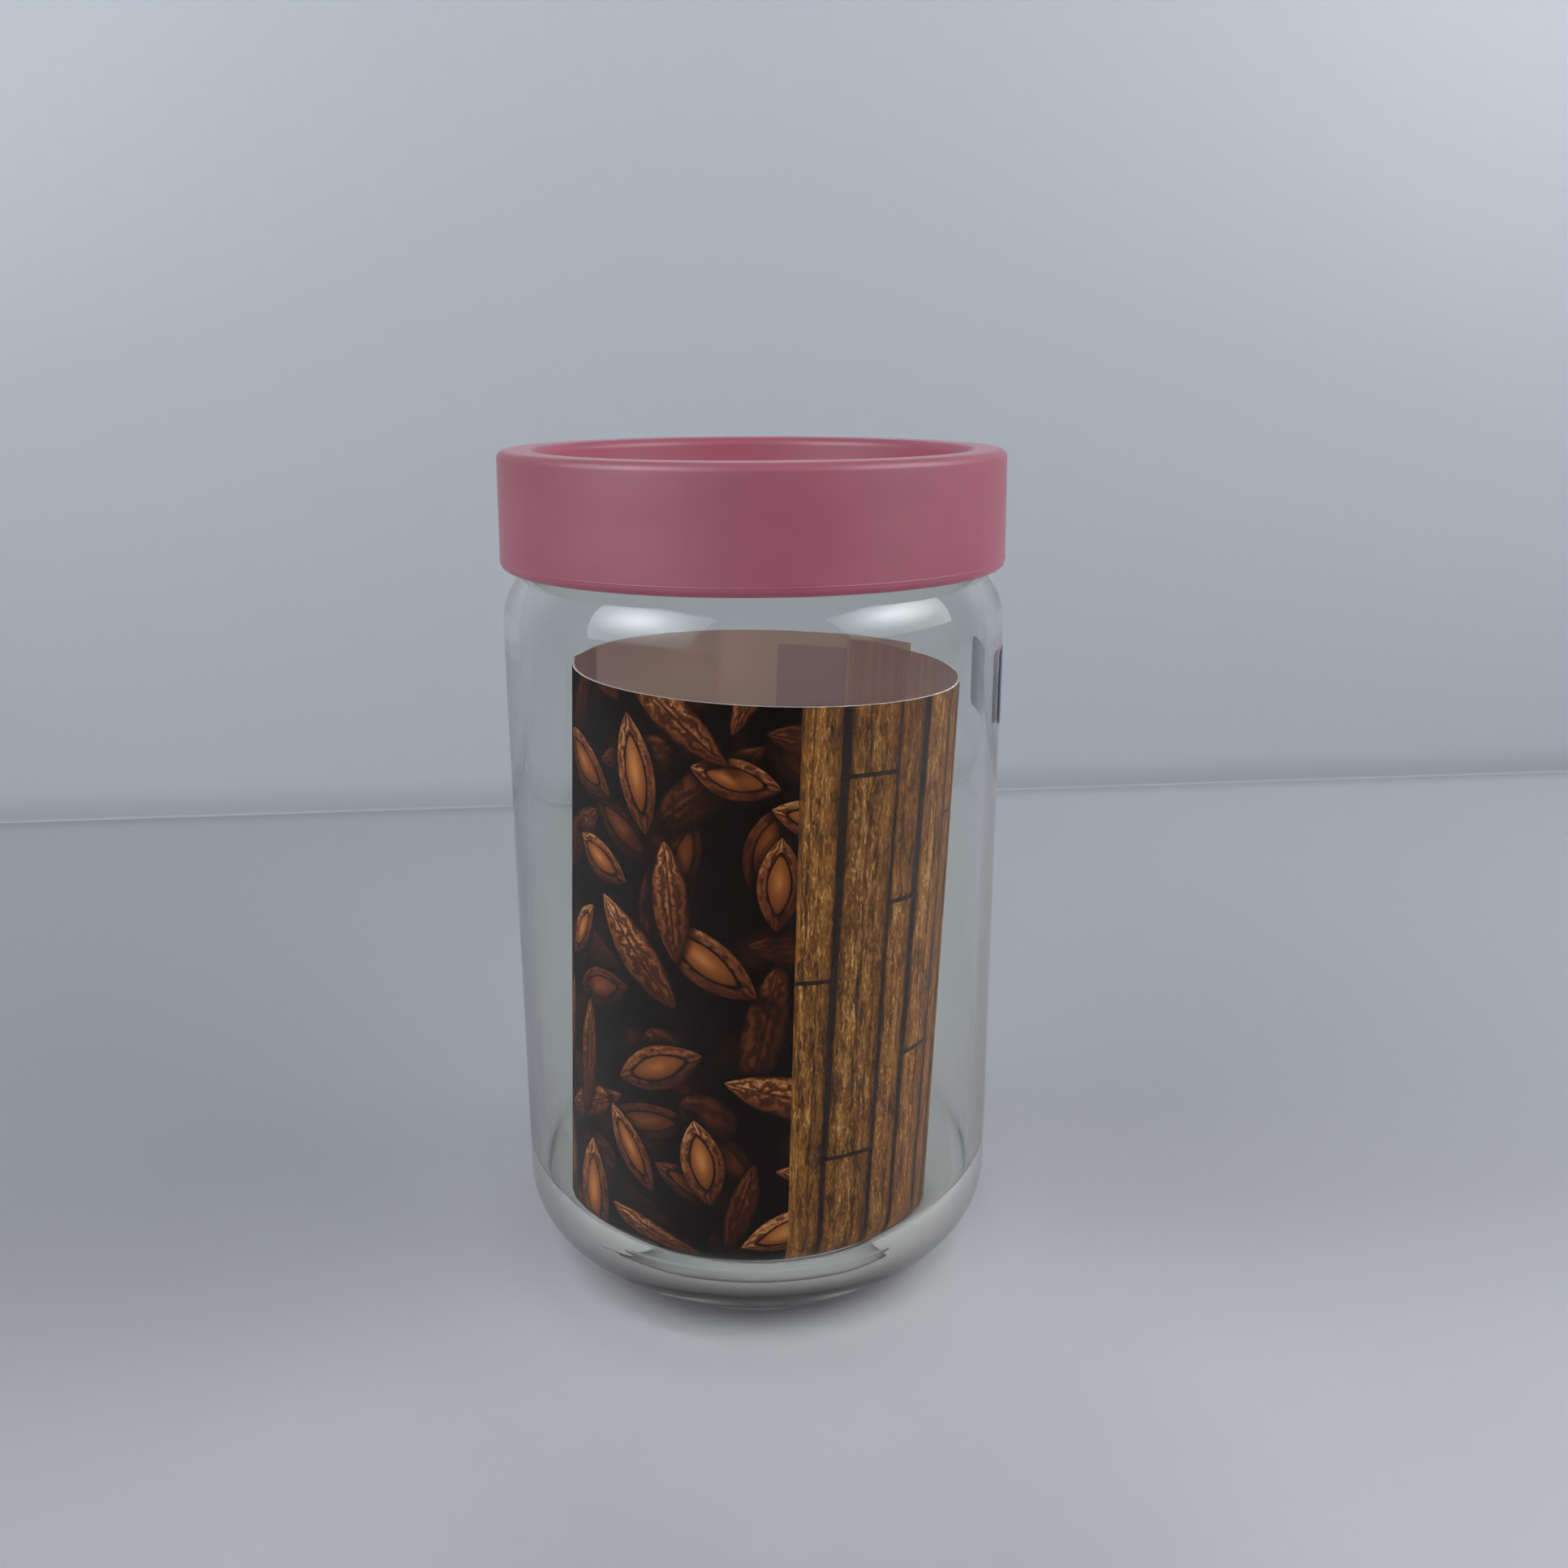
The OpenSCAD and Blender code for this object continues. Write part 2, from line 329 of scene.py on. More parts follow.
def dot(tree, a, b):
    return add(tree, "ShaderNodeVectorMath", {0: a, 1: b}, operation="DOT_PRODUCT").outputs["Value"]


def ramp_between(tree, value, low, high, start=0.0, end=1.0):
    """A smooth step of value from low to high, giving start to end."""
    inputs = enumerate((value, low, high, start, end))
    return add(tree, "ShaderNodeMapRange", inputs, interpolation_type="SMOOTHSTEP").outputs[0]


def split(tree, vector):
    return tuple(add(tree, "ShaderNodeSeparateXYZ", {0: vector}).outputs)


def join(tree, x, y, z):
    return add(tree, "ShaderNodeCombineXYZ", {0: x, 1: y, 2: z}).outputs[0]


def mix_vector(tree, factor, a, b):
    return add(tree, "ShaderNodeMix", {0: factor, 4: a, 5: b}, data_type="VECTOR").outputs[1]


def mix_colour(tree, factor, a, b, blend="MIX"):
    made = add(tree, "ShaderNodeMix", {0: factor, 6: a, 7: b}, data_type="RGBA", blend_type=blend)
    return made.outputs[2]


def mix_shader(tree, share, a, b):
    return add(tree, "ShaderNodeMixShader", {0: share, 1: a.outputs[0], 2: b.outputs[0]})


def noise(tree, vector, scale, detail=3.0, roughness=0.5, distortion=0.0):
    inputs = {"Vector": vector, "Scale": scale, "Detail": detail, "Roughness": roughness,
              "Distortion": distortion}
    return add(tree, "ShaderNodeTexNoise", inputs).outputs[0]


def colour_ramp(tree, value, stops):
    made = add(tree, "ShaderNodeValToRGB", {0: value})
    ramp = made.color_ramp
    while len(ramp.elements) < len(stops):
        ramp.elements.new(1.0)
    for element, (position, colour) in zip(ramp.elements, stops):
        element.position = position
        element.color = (*colour, 1)
    return made.outputs[0]


def put_base(tree, shader, colour):
    put(tree, shader.inputs["Base Color"], colour)


def put_bump(tree, shader, height, distance, strength):
    """Bumps a surface by a height whose full range is a distance in millimetres."""
    inputs = {"Height": height, "Distance": distance * MM, "Strength": strength}
    put(tree, shader.inputs["Normal"], add(tree, "ShaderNodeBump", inputs).outputs[0])


def scaled(tree, vector, x, y, z):
    return vector_calc(tree, "MULTIPLY", vector, (x, y, z))


def new_material(name, surface):
    """A material with one Principled surface; returns it, its tree, the surface and the output."""
    material = bpy.data.materials.new(name)
    material.use_nodes = True
    tree = material.node_tree
    tree.nodes.clear()
    shader = add(tree, "ShaderNodeBsdfPrincipled", surface)
    out = add(tree, "ShaderNodeOutputMaterial", {"Surface": shader.outputs[0]})
    return material, tree, shader, out


def sheet_material(name, roughness, specular=0.5):
    return new_material(name, {"Roughness": roughness, "Specular IOR Level": specular})


def let_through(tree, shader, out, share, colour):
    """Mixes light that comes through from behind into a surface."""
    through = add(tree, "ShaderNodeBsdfTranslucent", {"Color": colour})
    both = mix_shader(tree, share, shader, through)
    put(tree, out.inputs["Surface"], both.outputs[0])


def object_place(tree):
    return add(tree, "ShaderNodeTexCoord").outputs["Object"]


# Camera, fitted to the outlines of lid, wall, shoulder and foot in the photograph

FRAME_PX = 1932
FOCAL_PX = 1818.74
SENSOR = 36.0
CAMERA_BACK = 273.87
CAMERA_UP = 172.08
CAMERA_PITCH = 0.27520
CAMERA_YAW = 0.020346
CAMERA_ROLL = -0.00208
CAMERA_NEAR = 10.0
CAMERA_FAR = 20000.0


def make_camera():
    ahead = Vector((math.sin(CAMERA_YAW) * math.cos(CAMERA_PITCH),
                    math.cos(CAMERA_YAW) * math.cos(CAMERA_PITCH),
                    -math.sin(CAMERA_PITCH)))
    right = Vector((math.cos(CAMERA_YAW), -math.sin(CAMERA_YAW), 0))
    up = right.cross(ahead)
    turned_right = math.cos(CAMERA_ROLL) * right + math.sin(CAMERA_ROLL) * up
    turned_up = math.cos(CAMERA_ROLL) * up - math.sin(CAMERA_ROLL) * right
    data = bpy.data.cameras.new("camera")
    data.sensor_width = SENSOR
    data.lens = FOCAL_PX / FRAME_PX * SENSOR
    data.clip_start = CAMERA_NEAR * MM
    data.clip_end = CAMERA_FAR * MM
    camera = new_object("camera", data)
    axes = Matrix((turned_right, turned_up, -ahead)).transposed()
    camera.matrix_world = Matrix.Translation(Vector((0, -CAMERA_BACK, CAMERA_UP)) * MM) @ axes.to_4x4()
    bpy.context.scene.camera = camera


# Light: a soft panel and a window high on each side, and a pale surrounding

AIM = Vector((0, 0, 80)) * MM
PANEL_DISTANCE = 700 * MM
# Name, azimuth, elevation, size, power and colour
PANELS = (
    ("left_soft", -62, 31, (620, 500), 2.0, (0.96, 0.98, 1.0)),
    ("right_soft", 76, 31, (620, 460), 2.8, (0.98, 0.99, 1.0)),
)
# Name, azimuth, elevation, size, brightest place in shares of width and height, brightness and colour
WINDOWS = (
    ("left_shine", -52, 30, (646, 500), (0.47, 0.62), 62.0, (0.95, 0.98, 1.0)),
    ("right_shine", 71, 31, (710, 400), (0.46, 0.62), 49.0, (0.97, 0.99, 1.0)),
)
# A window fades from its brightest place to its rim
WINDOW_RIM = 0.11
WINDOW_FADE = 0.55
WINDOW_FALL = 1.6
SURROUND_LIGHT = (0.92, 0.96, 1.0, 1)
SURROUND_STRENGTH = 0.34
SURROUND_SHOWN = (0.36, 0.40, 0.46, 1)
ROOM_FRONT = (0.09, 0.10, 0.11, 1)
ROOM_BACK = (0.34, 0.37, 0.42, 1)
ROOM_DEPTH = (-0.7, 0.1)


def make_panel(name, azimuth, elevation, size, power, colour, shine=False):
    """An area light seen from the jar; its azimuth runs from the front to the right, in degrees.
    Soft panels light the surfaces, and shine panels show only in what is glossy."""
    a = math.radians(azimuth)
    e = math.radians(elevation)
    away = Vector((math.sin(a) * math.cos(e), -math.cos(a) * math.cos(e), math.sin(e)))
    data = bpy.data.lights.new(name, "AREA")
    data.shape = "RECTANGLE"
    data.size = size[0] * MM
    data.size_y = size[1] * MM
    data.energy = power
    data.color = colour
    lamp = new_object(name, data)
    lamp.location = AIM + away * PANEL_DISTANCE
    lamp.rotation_mode = "QUATERNION"
    lamp.rotation_quaternion = away.to_track_quat("Z", "Y")
    lamp.visible_camera = False
    lamp.visible_diffuse = not shine
    lamp.visible_glossy = shine
    lamp.visible_transmission = False
    return data


def make_window(name, azimuth, elevation, size, bright, brightness, colour):
    """A shine panel that fades outwards from its brightest place."""
    power = brightness * math.pi * size[0] * size[1] * MM * MM
    lamp = make_panel(name, azimuth, elevation, size, power, colour, shine=True)
    lamp.use_nodes = True
    tree = lamp.node_tree
    place = add(tree, "ShaderNodeNewGeometry").outputs["Parametric"]
    across, up, _ = split(tree, vector_calc(tree, "SUBTRACT", place, (*bright, 0)))
    off = times(tree, far_off(tree, across, up), 1 / WINDOW_FADE)
    fade = calc(tree, "POWER", rest_of_one(tree, off), WINDOW_FALL)
    strength = scale_add(tree, fade, 1.0 - WINDOW_RIM, WINDOW_RIM)
    put(tree, tree.nodes["Emission"].inputs["Strength"], strength)


def make_world():
    """An even pale surrounding; what is glossy shows the room in front of the jar darker."""
    world = bpy.data.worlds.new("surrounding")
    world.use_nodes = True
    tree = world.node_tree
    tree.nodes.clear()
    path = add(tree, "ShaderNodeLightPath")
    seen = calc(tree, "MAXIMUM", path.outputs["Is Camera Ray"], path.outputs["Is Transmission Ray"])
    _, depth, _ = split(tree, add(tree, "ShaderNodeTexCoord").outputs["Generated"])
    room = mix_colour(tree, ramp_between(tree, depth, *ROOM_DEPTH), ROOM_FRONT, ROOM_BACK)
    light = add(tree, "ShaderNodeBackground", {"Color": SURROUND_LIGHT, "Strength": SURROUND_STRENGTH})
    shine = add(tree, "ShaderNodeBackground", {"Color": room, "Strength": 1.0})
    shown = add(tree, "ShaderNodeBackground", {"Color": SURROUND_SHOWN, "Strength": 1.0})
    glossy = path.outputs["Is Glossy Ray"]
    both = mix_shader(tree, seen, mix_shader(tree, glossy, light, shine), shown)
    add(tree, "ShaderNodeOutputWorld", {"Surface": both.outputs[0]})
    bpy.context.scene.world = world


# Floor and backdrop in one sweep, with painted light and shade in its base colours

BACKDROP_Y = 312.5
# The board stands a little askew behind the jar
BACKDROP_TURN = math.radians(5.1)
COVE_ROUND = 1.0
COVE_STEPS = 12
# Painted shade where the wall meets the table, reaching this far up the wall and along the table
BORDER = 14.0
CORNER_PAINTED_SHADE = (0.82, 0.82, 0.82, 1)
SWEEP_SIDE = 2500.0
SWEEP_FRONT = -2500.0
SWEEP_UP = 1600.0
# Base colours up the wall, and along the table from its front to its back, with painted light: the wall
# paler towards its top, the table paler and darker in turn
WALL_FADE = 420.0
WALL_PAINTED_LIGHT = ((0.0, (0.45, 0.475, 0.525)), (0.41, (0.49, 0.525, 0.58)), (1.0, (0.64, 0.68, 0.75)))
# Painted shade across the wall: darker to the right
WALL_SIDE = 260.0
WALL_SIDE_PAINTED_SHADE = (1.04, 0.95)
TABLE_FADE = 620.0
# Painted light and shade across the table: darker to the left, paler to the right
TABLE_SIDE = 220.0
TABLE_SIDE_PAINTED_LIGHT = (0.95, 1.07)
TABLE_PAINTED_LIGHT = ((0.0, (0.43, 0.44, 0.452)), (0.25, (0.475, 0.485, 0.50)), (0.5, (0.42, 0.431, 0.452)),
               (1.0, (0.47, 0.495, 0.535)))
# Painted shadow of the jar: in front of the jar the table is darker in the middle and paler to both sides
FRONT_REACH = 60.0
FRONT_NEAR = 15.0
FRONT_WIDE = 90.0
FRONT_PAINTED_SHADOW_AND_LIGHT = (-0.12, 0.13)
CLOUD_SHARE = 0.06
CLOUD_SHADE = (0.9, 0.9, 0.9, 1)
GRAIN_SHARE = 0.05
GRAIN_SHADE = (0.30, 0.31, 0.33, 1)


def backdrop_material():
    material, tree, shader, _ = sheet_material("pale_board", 0.62, 0.25)
    place = object_place(tree)
    clouds = noise(tree, place, 4.0, detail=2.0)
    fine = noise(tree, place, 220.0, detail=2.0)
    across, depth, up = split(tree, place)
    far = ramp_between(tree, depth, (BACKDROP_Y - COVE_ROUND) * MM, BACKDROP_Y * MM)
    # Painted light: the wall paler towards its top, the table paler and darker in turn from front to back
    wall = colour_ramp(tree, times(tree, up, 1 / (WALL_FADE * MM)), WALL_PAINTED_LIGHT)
    table = colour_ramp(tree, scale_add(tree, depth, 1 / (TABLE_FADE * MM), 0.5), TABLE_PAINTED_LIGHT)
    # Painted light and shade across the table: darker to the left, paler to the right
    side = ramp_between(tree, across, -TABLE_SIDE * MM, TABLE_SIDE * MM, *TABLE_SIDE_PAINTED_LIGHT)
    # Painted shadow of the jar in front of it, with painted light to both sides
    off = ramp_between(tree, size_of(tree, across), FRONT_NEAR * MM, FRONT_WIDE * MM, *FRONT_PAINTED_SHADOW_AND_LIGHT)
    front = ramp_between(tree, depth, 0.0, -FRONT_REACH * MM)
    side = times(tree, side, scale_add(tree, off, front, 1.0))
    table = vector_calc(tree, "MULTIPLY", table, join(tree, side, side, side))
    # Painted shade across the wall: darker to the right
    side = ramp_between(tree, across, -WALL_SIDE * MM, WALL_SIDE * MM, *WALL_SIDE_PAINTED_SHADE)
    wall = vector_calc(tree, "MULTIPLY", wall, join(tree, side, side, side))
    base = mix_colour(tree, far, table, wall)
    # Painted shade in the corner where the wall meets the table
    border = times(tree, ramp_between(tree, depth, (BACKDROP_Y - BORDER) * MM, BACKDROP_Y * MM),
                  ramp_between(tree, up, BORDER * MM, 0.0))
    base = mix_colour(tree, border, base, CORNER_PAINTED_SHADE, "MULTIPLY")
    clouded = ramp_between(tree, clouds, 0.3, 0.7, 0.0, CLOUD_SHARE)
    base = mix_colour(tree, clouded, base, CLOUD_SHADE, "MULTIPLY")
    base = mix_colour(tree, times(tree, fine, GRAIN_SHARE), base, GRAIN_SHADE)
    put_base(tree, shader, base)
    put_bump(tree, shader, fine, 0.02, 0.3)
    return material


def make_sweep():
    turns = [math.pi / 2 * i / COVE_STEPS for i in range(COVE_STEPS + 1)]
    cove = [Vector((BACKDROP_Y - COVE_ROUND * (1 - math.sin(t)), COVE_ROUND * (1 - math.cos(t))))
            for t in turns]
    profile = [Vector((SWEEP_FRONT, 0)), *cove, Vector((BACKDROP_Y, SWEEP_UP))]
    verts = [(side * SWEEP_SIDE, p.x, p.y) for p in profile for side in (-1, 1)]
    faces = [(2 * i, 2 * i + 1, 2 * i + 3, 2 * i + 2) for i in range(len(profile) - 1)]
    mesh = bpy.data.meshes.new("sweep")
    mesh.from_pydata([Vector(v) * MM for v in verts], [], faces)
    mesh.shade_smooth()
    mesh.set_sharp_from_angle(angle=SHARP_ANGLE)
    mesh.materials.append(backdrop_material())
    sweep = new_object("sweep", mesh)
    sweep.rotation_euler.z = BACKDROP_TURN


# Glass jar

GLASS_IOR = 1.5
MIRROR_SHARE = 0.99
GLASS_TINT = (0.895, 0.897, 0.862, 1)
GLASS_SHADE = (0.97, 0.97, 0.96, 1)
FOOT_SHADE = (0.185, 0.150, 0.157, 1)
FOOT_SHADE_LOW = 2.0
FOOT_SHADE_HIGH = 8.8
GLASS_LEAK = (0.84, 0.82, 0.80, 1)
GLASS_SHINE = (0.20, 0.205, 0.21, 1)


def glass_material():
    surface = {"Base Color": GLASS_TINT, "Roughness": 0.0, "IOR": GLASS_IOR, "Transmission Weight": 1.0,
               "Specular Tint": GLASS_SHINE}
    material, tree, shader, out = new_material("clear_glass", surface)
    place = object_place(tree)
    waves = noise(tree, scaled(tree, place, 1, 1, 0.35), 38.0, detail=1.0)
    put_bump(tree, shader, waves, 0.12, 0.5)
    path = add(tree, "ShaderNodeLightPath")
    # Light that mirror bounces would hold in the glass comes out at the second of them
    mirror = is_over(tree, add(tree, "ShaderNodeFresnel", {"IOR": GLASS_IOR}).outputs[0], MIRROR_SHARE)
    held = times(tree, mirror, is_over(tree, path.outputs["Glossy Depth"], 0.5))
    leak = add(tree, "ShaderNodeBsdfTransparent", {"Color": GLASS_LEAK})
    seen = mix_shader(tree, held, shader, leak)
    _, _, up = split(tree, place)
    foot = ramp_between(tree, up, FOOT_SHADE_LOW * MM, FOOT_SHADE_HIGH * MM)
    shade = mix_colour(tree, foot, FOOT_SHADE, GLASS_SHADE)
    clear = add(tree, "ShaderNodeBsdfTransparent", {"Color": shade})
    # Light that the table sends back up into the foot is dimmed like the light that comes down
    from_table = is_over(tree, path.outputs["Diffuse Depth"], 0.5)
    from_table = times(tree, from_table, calc(tree, "LESS_THAN", up, FOOT_SHADE_HIGH * MM))
    straight = calc(tree, "MAXIMUM", path.outputs["Is Shadow Ray"], from_table)
    both = mix_shader(tree, straight, seen, clear)
    put(tree, out.inputs["Surface"], both.outputs[0])
    return material


HEEL_WAVES = ((5, 0.10), (9, 0.07), (14, 0.05))


def uneven_heel(r, z, turn):
    """Pressed glass is a little uneven inside, at its heel and floor."""
    low = FLOOR_T - MM
    high = FLOOR_T + INNER_HEEL_ROUND
    inside = z > low and r < INNER_R - MM and z < high and r > INNER_R / 3
    if not inside:
        return r, z
    share = (high - z) / (high - low)
    wave = sum(size * math.sin(count * turn + count) for count, size in HEEL_WAVES)
    return r, z + wave * math.sin(math.pi * share) * min(1, (r - INNER_R / 3) / INNER_R * 3)


def make_glass():
    points = outline([
        (0, PUSH_UP, 0),
        (FOOT_IN_R - PUSH_UP, PUSH_UP, FOOT_ROUND),
        (FOOT_IN_R, 0, FOOT_ROUND / 2),
        (FOOT_R, 0, FOOT_ROUND),
        (JAR_R, HEEL_CORNER_Z, HEEL_ROUND),
        (JAR_R, SHOULDER_Z, SHOULDER_ROUND),
        (NECK_R, NECK_ROOT_Z, NECK_ROOT_ROUND),
        (NECK_R, BEAD_Z - BEAD_H / 2, BEAD_OUT / 2),
        (NECK_R + BEAD_OUT, BEAD_Z - BEAD_H / 2 + BEAD_OUT, BEAD_OUT / 2),
        (NECK_R + BEAD_OUT, BEAD_Z + BEAD_H / 2 - BEAD_OUT, BEAD_OUT / 2),
        (NECK_R, BEAD_Z + BEAD_H / 2, BEAD_OUT / 2),
        (NECK_R, RIM_Z, LIP_ROUND),
        (MOUTH_R, RIM_Z, LIP_ROUND),
        (MOUTH_R, INNER_ROOT_Z, NECK_ROOT_ROUND),
        (INNER_R, INNER_SHOULDER_Z, INNER_SHOULDER_ROUND),
        (INNER_R, FLOOR_T, INNER_HEEL_ROUND),
        (0, FLOOR_T, 0),
    ])
    mesh = turned_mesh("glass_jar_fine", points, uneven_heel)
    mesh.materials.append(glass_material())
    new_piece(mesh, "jar", "clear_glass", "glass_jar")


# Lid

LID_COLOUR = (0.42, 0.108, 0.162, 1)
LID_DEEP = (0.375, 0.090, 0.139, 1)
LID_ROUGH = 0.43


def plastic_material():
    surface = {"IOR": 1.49, "Specular IOR Level": 0.2, "Sheen Weight": 0.25,
               "Sheen Roughness": 0.4, "Subsurface Weight": 0.2, "Subsurface Scale": 2 * MM,
               "Subsurface Radius": (1.0, 0.45, 0.45)}
    material, tree, shader, _ = new_material("pink_plastic", surface)
    place = object_place(tree)
    flow = noise(tree, scaled(tree, place, 1, 1, 2.5), 26.0, detail=3.0)
    grain = noise(tree, place, 900.0, detail=2.0)
    fine = noise(tree, place, 2600.0, detail=1.0)
    base = mix_colour(tree, ramp_between(tree, flow, 0.3, 0.7), LID_DEEP, LID_COLOUR)
    put_base(tree, shader, base)
    rough = scale_add(tree, flow, 0.10, LID_ROUGH)
    put(tree, shader.inputs["Roughness"], scale_add(tree, grain, 0.06, rough))
    skin = plus(tree, grain, times(tree, fine, 0.4))
    put_bump(tree, shader, skin, 0.012, 0.6)
    return material


def lid_outline():
    return outline([
        (0, UNDER_Z, 0),
        (PLUG_IN_R, UNDER_Z, PLUG_ROUND),
        (PLUG_IN_R, PLUG_LOW_Z, PLUG_ROUND),
        (PLUG_R, PLUG_LOW_Z, PLUG_ROUND),
        (PLUG_R, GROOVE_LOW_Z, 0),
        (GROOVE_R, GROOVE_LOW_Z, 0),
        (GROOVE_R, GROOVE_HIGH_Z, 0),
        (PLUG_R, GROOVE_HIGH_Z, 0),
        (PLUG_R, UNDER_Z, 0),
        (RECESS_OUT_R, UNDER_Z, PLUG_ROUND),
        (RECESS_OUT_R, CHANNEL_Z, PLUG_ROUND),
        (SKIRT_IN_R, CHANNEL_Z, PLUG_ROUND),
        (SKIRT_IN_R, LID_LOW_Z, SKIRT_WALL / 4),
        (LID_R, LID_LOW_Z, SKIRT_ROUND),
        (LID_R, FLASH_Z - FLASH_H / 2, 0),
        (LID_R + FLASH_OUT, FLASH_Z, FLASH_H / 4),
        (LID_R, FLASH_Z + FLASH_H / 2, 0),
        (LID_R - SKIRT_DRAFT, LID_TOP_Z, RIM_ROUND),
        (RECESS_R, LID_TOP_Z, CREST_ROUND),
        (RECESS_R, PANEL_Z, RECESS_ROUND),
        (0, PANEL_Z, 0),
    ])


def make_ribs(material):
    """Ribs inside the skirt, each a closed plate that runs a little into the shell."""
    low = LID_LOW_Z + RIB_START
    bite = RIB_T / 10
    profile = [
        (SKIRT_IN_R + bite, low),
        (SKIRT_IN_R, low),
        (SKIRT_IN_R - RIB_IN, low + RIB_IN),
        (SKIRT_IN_R - RIB_IN, UNDER_Z + SEAT_GAP),
        (RECESS_OUT_R - bite, UNDER_Z + SEAT_GAP),
        (RECESS_OUT_R - bite, CHANNEL_Z + bite),
        (SKIRT_IN_R + bite, CHANNEL_Z + bite),
    ]
    count = len(profile)
    verts = []
    faces = []
    for i in range(RIB_COUNT):
        turn = Matrix.Rotation(FULL_TURN * i / RIB_COUNT, 3, "Z")
        first = len(verts)
        for side in (-RIB_T / 2, RIB_T / 2):
            verts += [turn @ Vector((r, side, z)) for r, z in profile]
        faces.append([first + k for k in range(count)])
        faces.append([first + count + k for k in reversed(range(count))])
        faces += [(first + k, first + (k + 1) % count, first + count + (k + 1) % count, first + count + k)
                  for k in range(count)]
    mesh = finish_mesh("lid_ribs", verts, faces)
    mesh.materials.append(material)
    new_piece(mesh, "lid", "pink_plastic")


def make_lid():
    material = plastic_material()
    mesh = turned_mesh("lid_shell", lid_outline())
    mesh.materials.append(material)
    new_piece(mesh, "lid", "pink_plastic", "lid")
    make_ribs(material)


# Seal ring

SEAL_COLOUR = (0.78, 0.78, 0.75, 1)


def seal_material():
    surface = {"Base Color": SEAL_COLOUR, "Transmission Weight": 0.35, "IOR": 1.41,
               "Subsurface Weight": 0.5, "Subsurface Scale": 2 * MM}
    material, tree, shader, _ = new_material("seal", surface)
    dust = noise(tree, object_place(tree), 500.0, detail=3.0)
    put(tree, shader.inputs["Roughness"], plus(tree, times(tree, dust, 0.25), 0.35))
    put_bump(tree, shader, dust, 0.02, 0.4)
    return material


def make_seal():
    low = GROOVE_LOW_Z + GROOVE_GAP
    high = GROOVE_HIGH_Z - GROOVE_GAP
    pitch = (high - low - FIN_RISE) / FIN_COUNT
    corners = [(GROOVE_R, low, 0), (SEAL_R, low, 0)]
    for i in range(FIN_COUNT):
        root = low + i * pitch + FIN_TIP / 2
        corners += [
            (SEAL_R, root, FIN_TIP / 3),
            (FIN_R, root + FIN_RISE, FIN_TIP / 3),
            (FIN_R, root + FIN_TIP + FIN_RISE, FIN_TIP / 3),
            (SEAL_R, root + FIN_ROOT, FIN_TIP / 3),
        ]
    corners += [(SEAL_R, high, 0), (GROOVE_R, high, 0)]
    mesh = turned_mesh("seal_ring_fine", outline(corners))
    mesh.materials.append(seal_material())
    new_piece(mesh, "lid", "seal", "seal_ring")


# Printed card: places on the print are millimetres, across from the front's middle and up from the foot

FLOOR_FLAT_R = INNER_R - INNER_HEEL_ROUND
SLEEVE_OUT_R = SLEEVE_R + CARD_T
LAP_TURN = LAP_W / SLEEVE_R
PODS_LEFT = -70.0
CANES_LEFT = 6.2
CANES_RIGHT = SLEEVE_R * (LAP_DIR + LAP_TURN / 2 + math.pi / 2)
PRINT_END = CANES_RIGHT - SLEEVE_R * (FULL_TURN + LAP_TURN)
EDGE_SLANT = -1.7
EDGE_SLANT_REACH = 25.0


def floor_rise(r):
    if r <= FLOOR_FLAT_R:
        return 0
    return INNER_HEEL_ROUND - math.sqrt(INNER_HEEL_ROUND ** 2 - (r - FLOOR_FLAT_R) ** 2)


RISE_LEFT = floor_rise(SLEEVE_OUT_R + SLEEVE_SHIFT)
RISE_RIGHT = floor_rise(SLEEVE_OUT_R - SLEEVE_SHIFT)
SLEEVE_LEAN = math.asin((RISE_LEFT - RISE_RIGHT) / (2 * SLEEVE_OUT_R))
SLEEVE_Z = FLOOR_T + STAND_GAP + (RISE_LEFT + RISE_RIGHT) / 2
SLEEVE_PLACE = Matrix.Translation((-SLEEVE_SHIFT, 0, SLEEVE_Z)) @ Matrix.Rotation(SLEEVE_LEAN, 4, "Y")

COLUMN_STEP = 0.9
ROWS = 36
LAP_LIFT_REACH = 6.0
LAYER_GAP = 0.02
# The sheet was rolled a little askew, so its outer end stands higher
LAP_RISE = 1.4
LAP_RISE_REACH = 60.0
FOLDS = ((math.radians(178), 0.55), (math.radians(-3), 0.25))
FOLD_REACH = math.radians(3.5)


def card_radius(across):
    """Radius of the card's middle; the end of the print lies over its beginning."""
    azimuth = across / SLEEVE_R - math.pi / 2
    r = SLEEVE_R - CARD_T / 2
    lift = (CANES_RIGHT - FULL_TURN * SLEEVE_R + LAP_LIFT_REACH - across) / LAP_LIFT_REACH
    lift = max(0, min(1, lift))
    r += (CARD_T + LAYER_GAP) * lift * lift * (3 - 2 * lift)
    for fold, size in FOLDS:
        off = abs((azimuth - fold + math.pi) % FULL_TURN - math.pi)
        r += size * math.exp(-off / FOLD_REACH)
    return r


def card_point(across, up, side):
    """A point of the card's outer side (1), inner side (-1) or middle (0), standing in the jar."""
    skew = max(0, 1 - (across - PRINT_END) / LAP_RISE_REACH)
    up += LAP_RISE * skew * skew
    near = max(0, 1 - abs(across - CANES_LEFT) / EDGE_SLANT_REACH)
    shifted = across + EDGE_SLANT * (up / SLEEVE_H - 0.5) * near
    azimuth = shifted / SLEEVE_R - math.pi / 2
    r = card_radius(shifted) + side * CARD_T / 2
    return SLEEVE_PLACE @ Vector((r * math.cos(azimuth), r * math.sin(azimuth), up))


def columns():
    marks = [PRINT_END, PODS_LEFT, CANES_LEFT, CANES_RIGHT]
    found = []
    for low, high in zip(marks, marks[1:]):
        parts = math.ceil((high - low) / COLUMN_STEP)
        found += [low + (high - low) * k / parts for k in range(parts)]
    return found + [CANES_RIGHT]


PODS, CANES, NOTES, INSIDE, EDGE = range(5)


def panel_of(across):
    if across < PODS_LEFT:
        return NOTES
    return PODS if across < CANES_LEFT else CANES


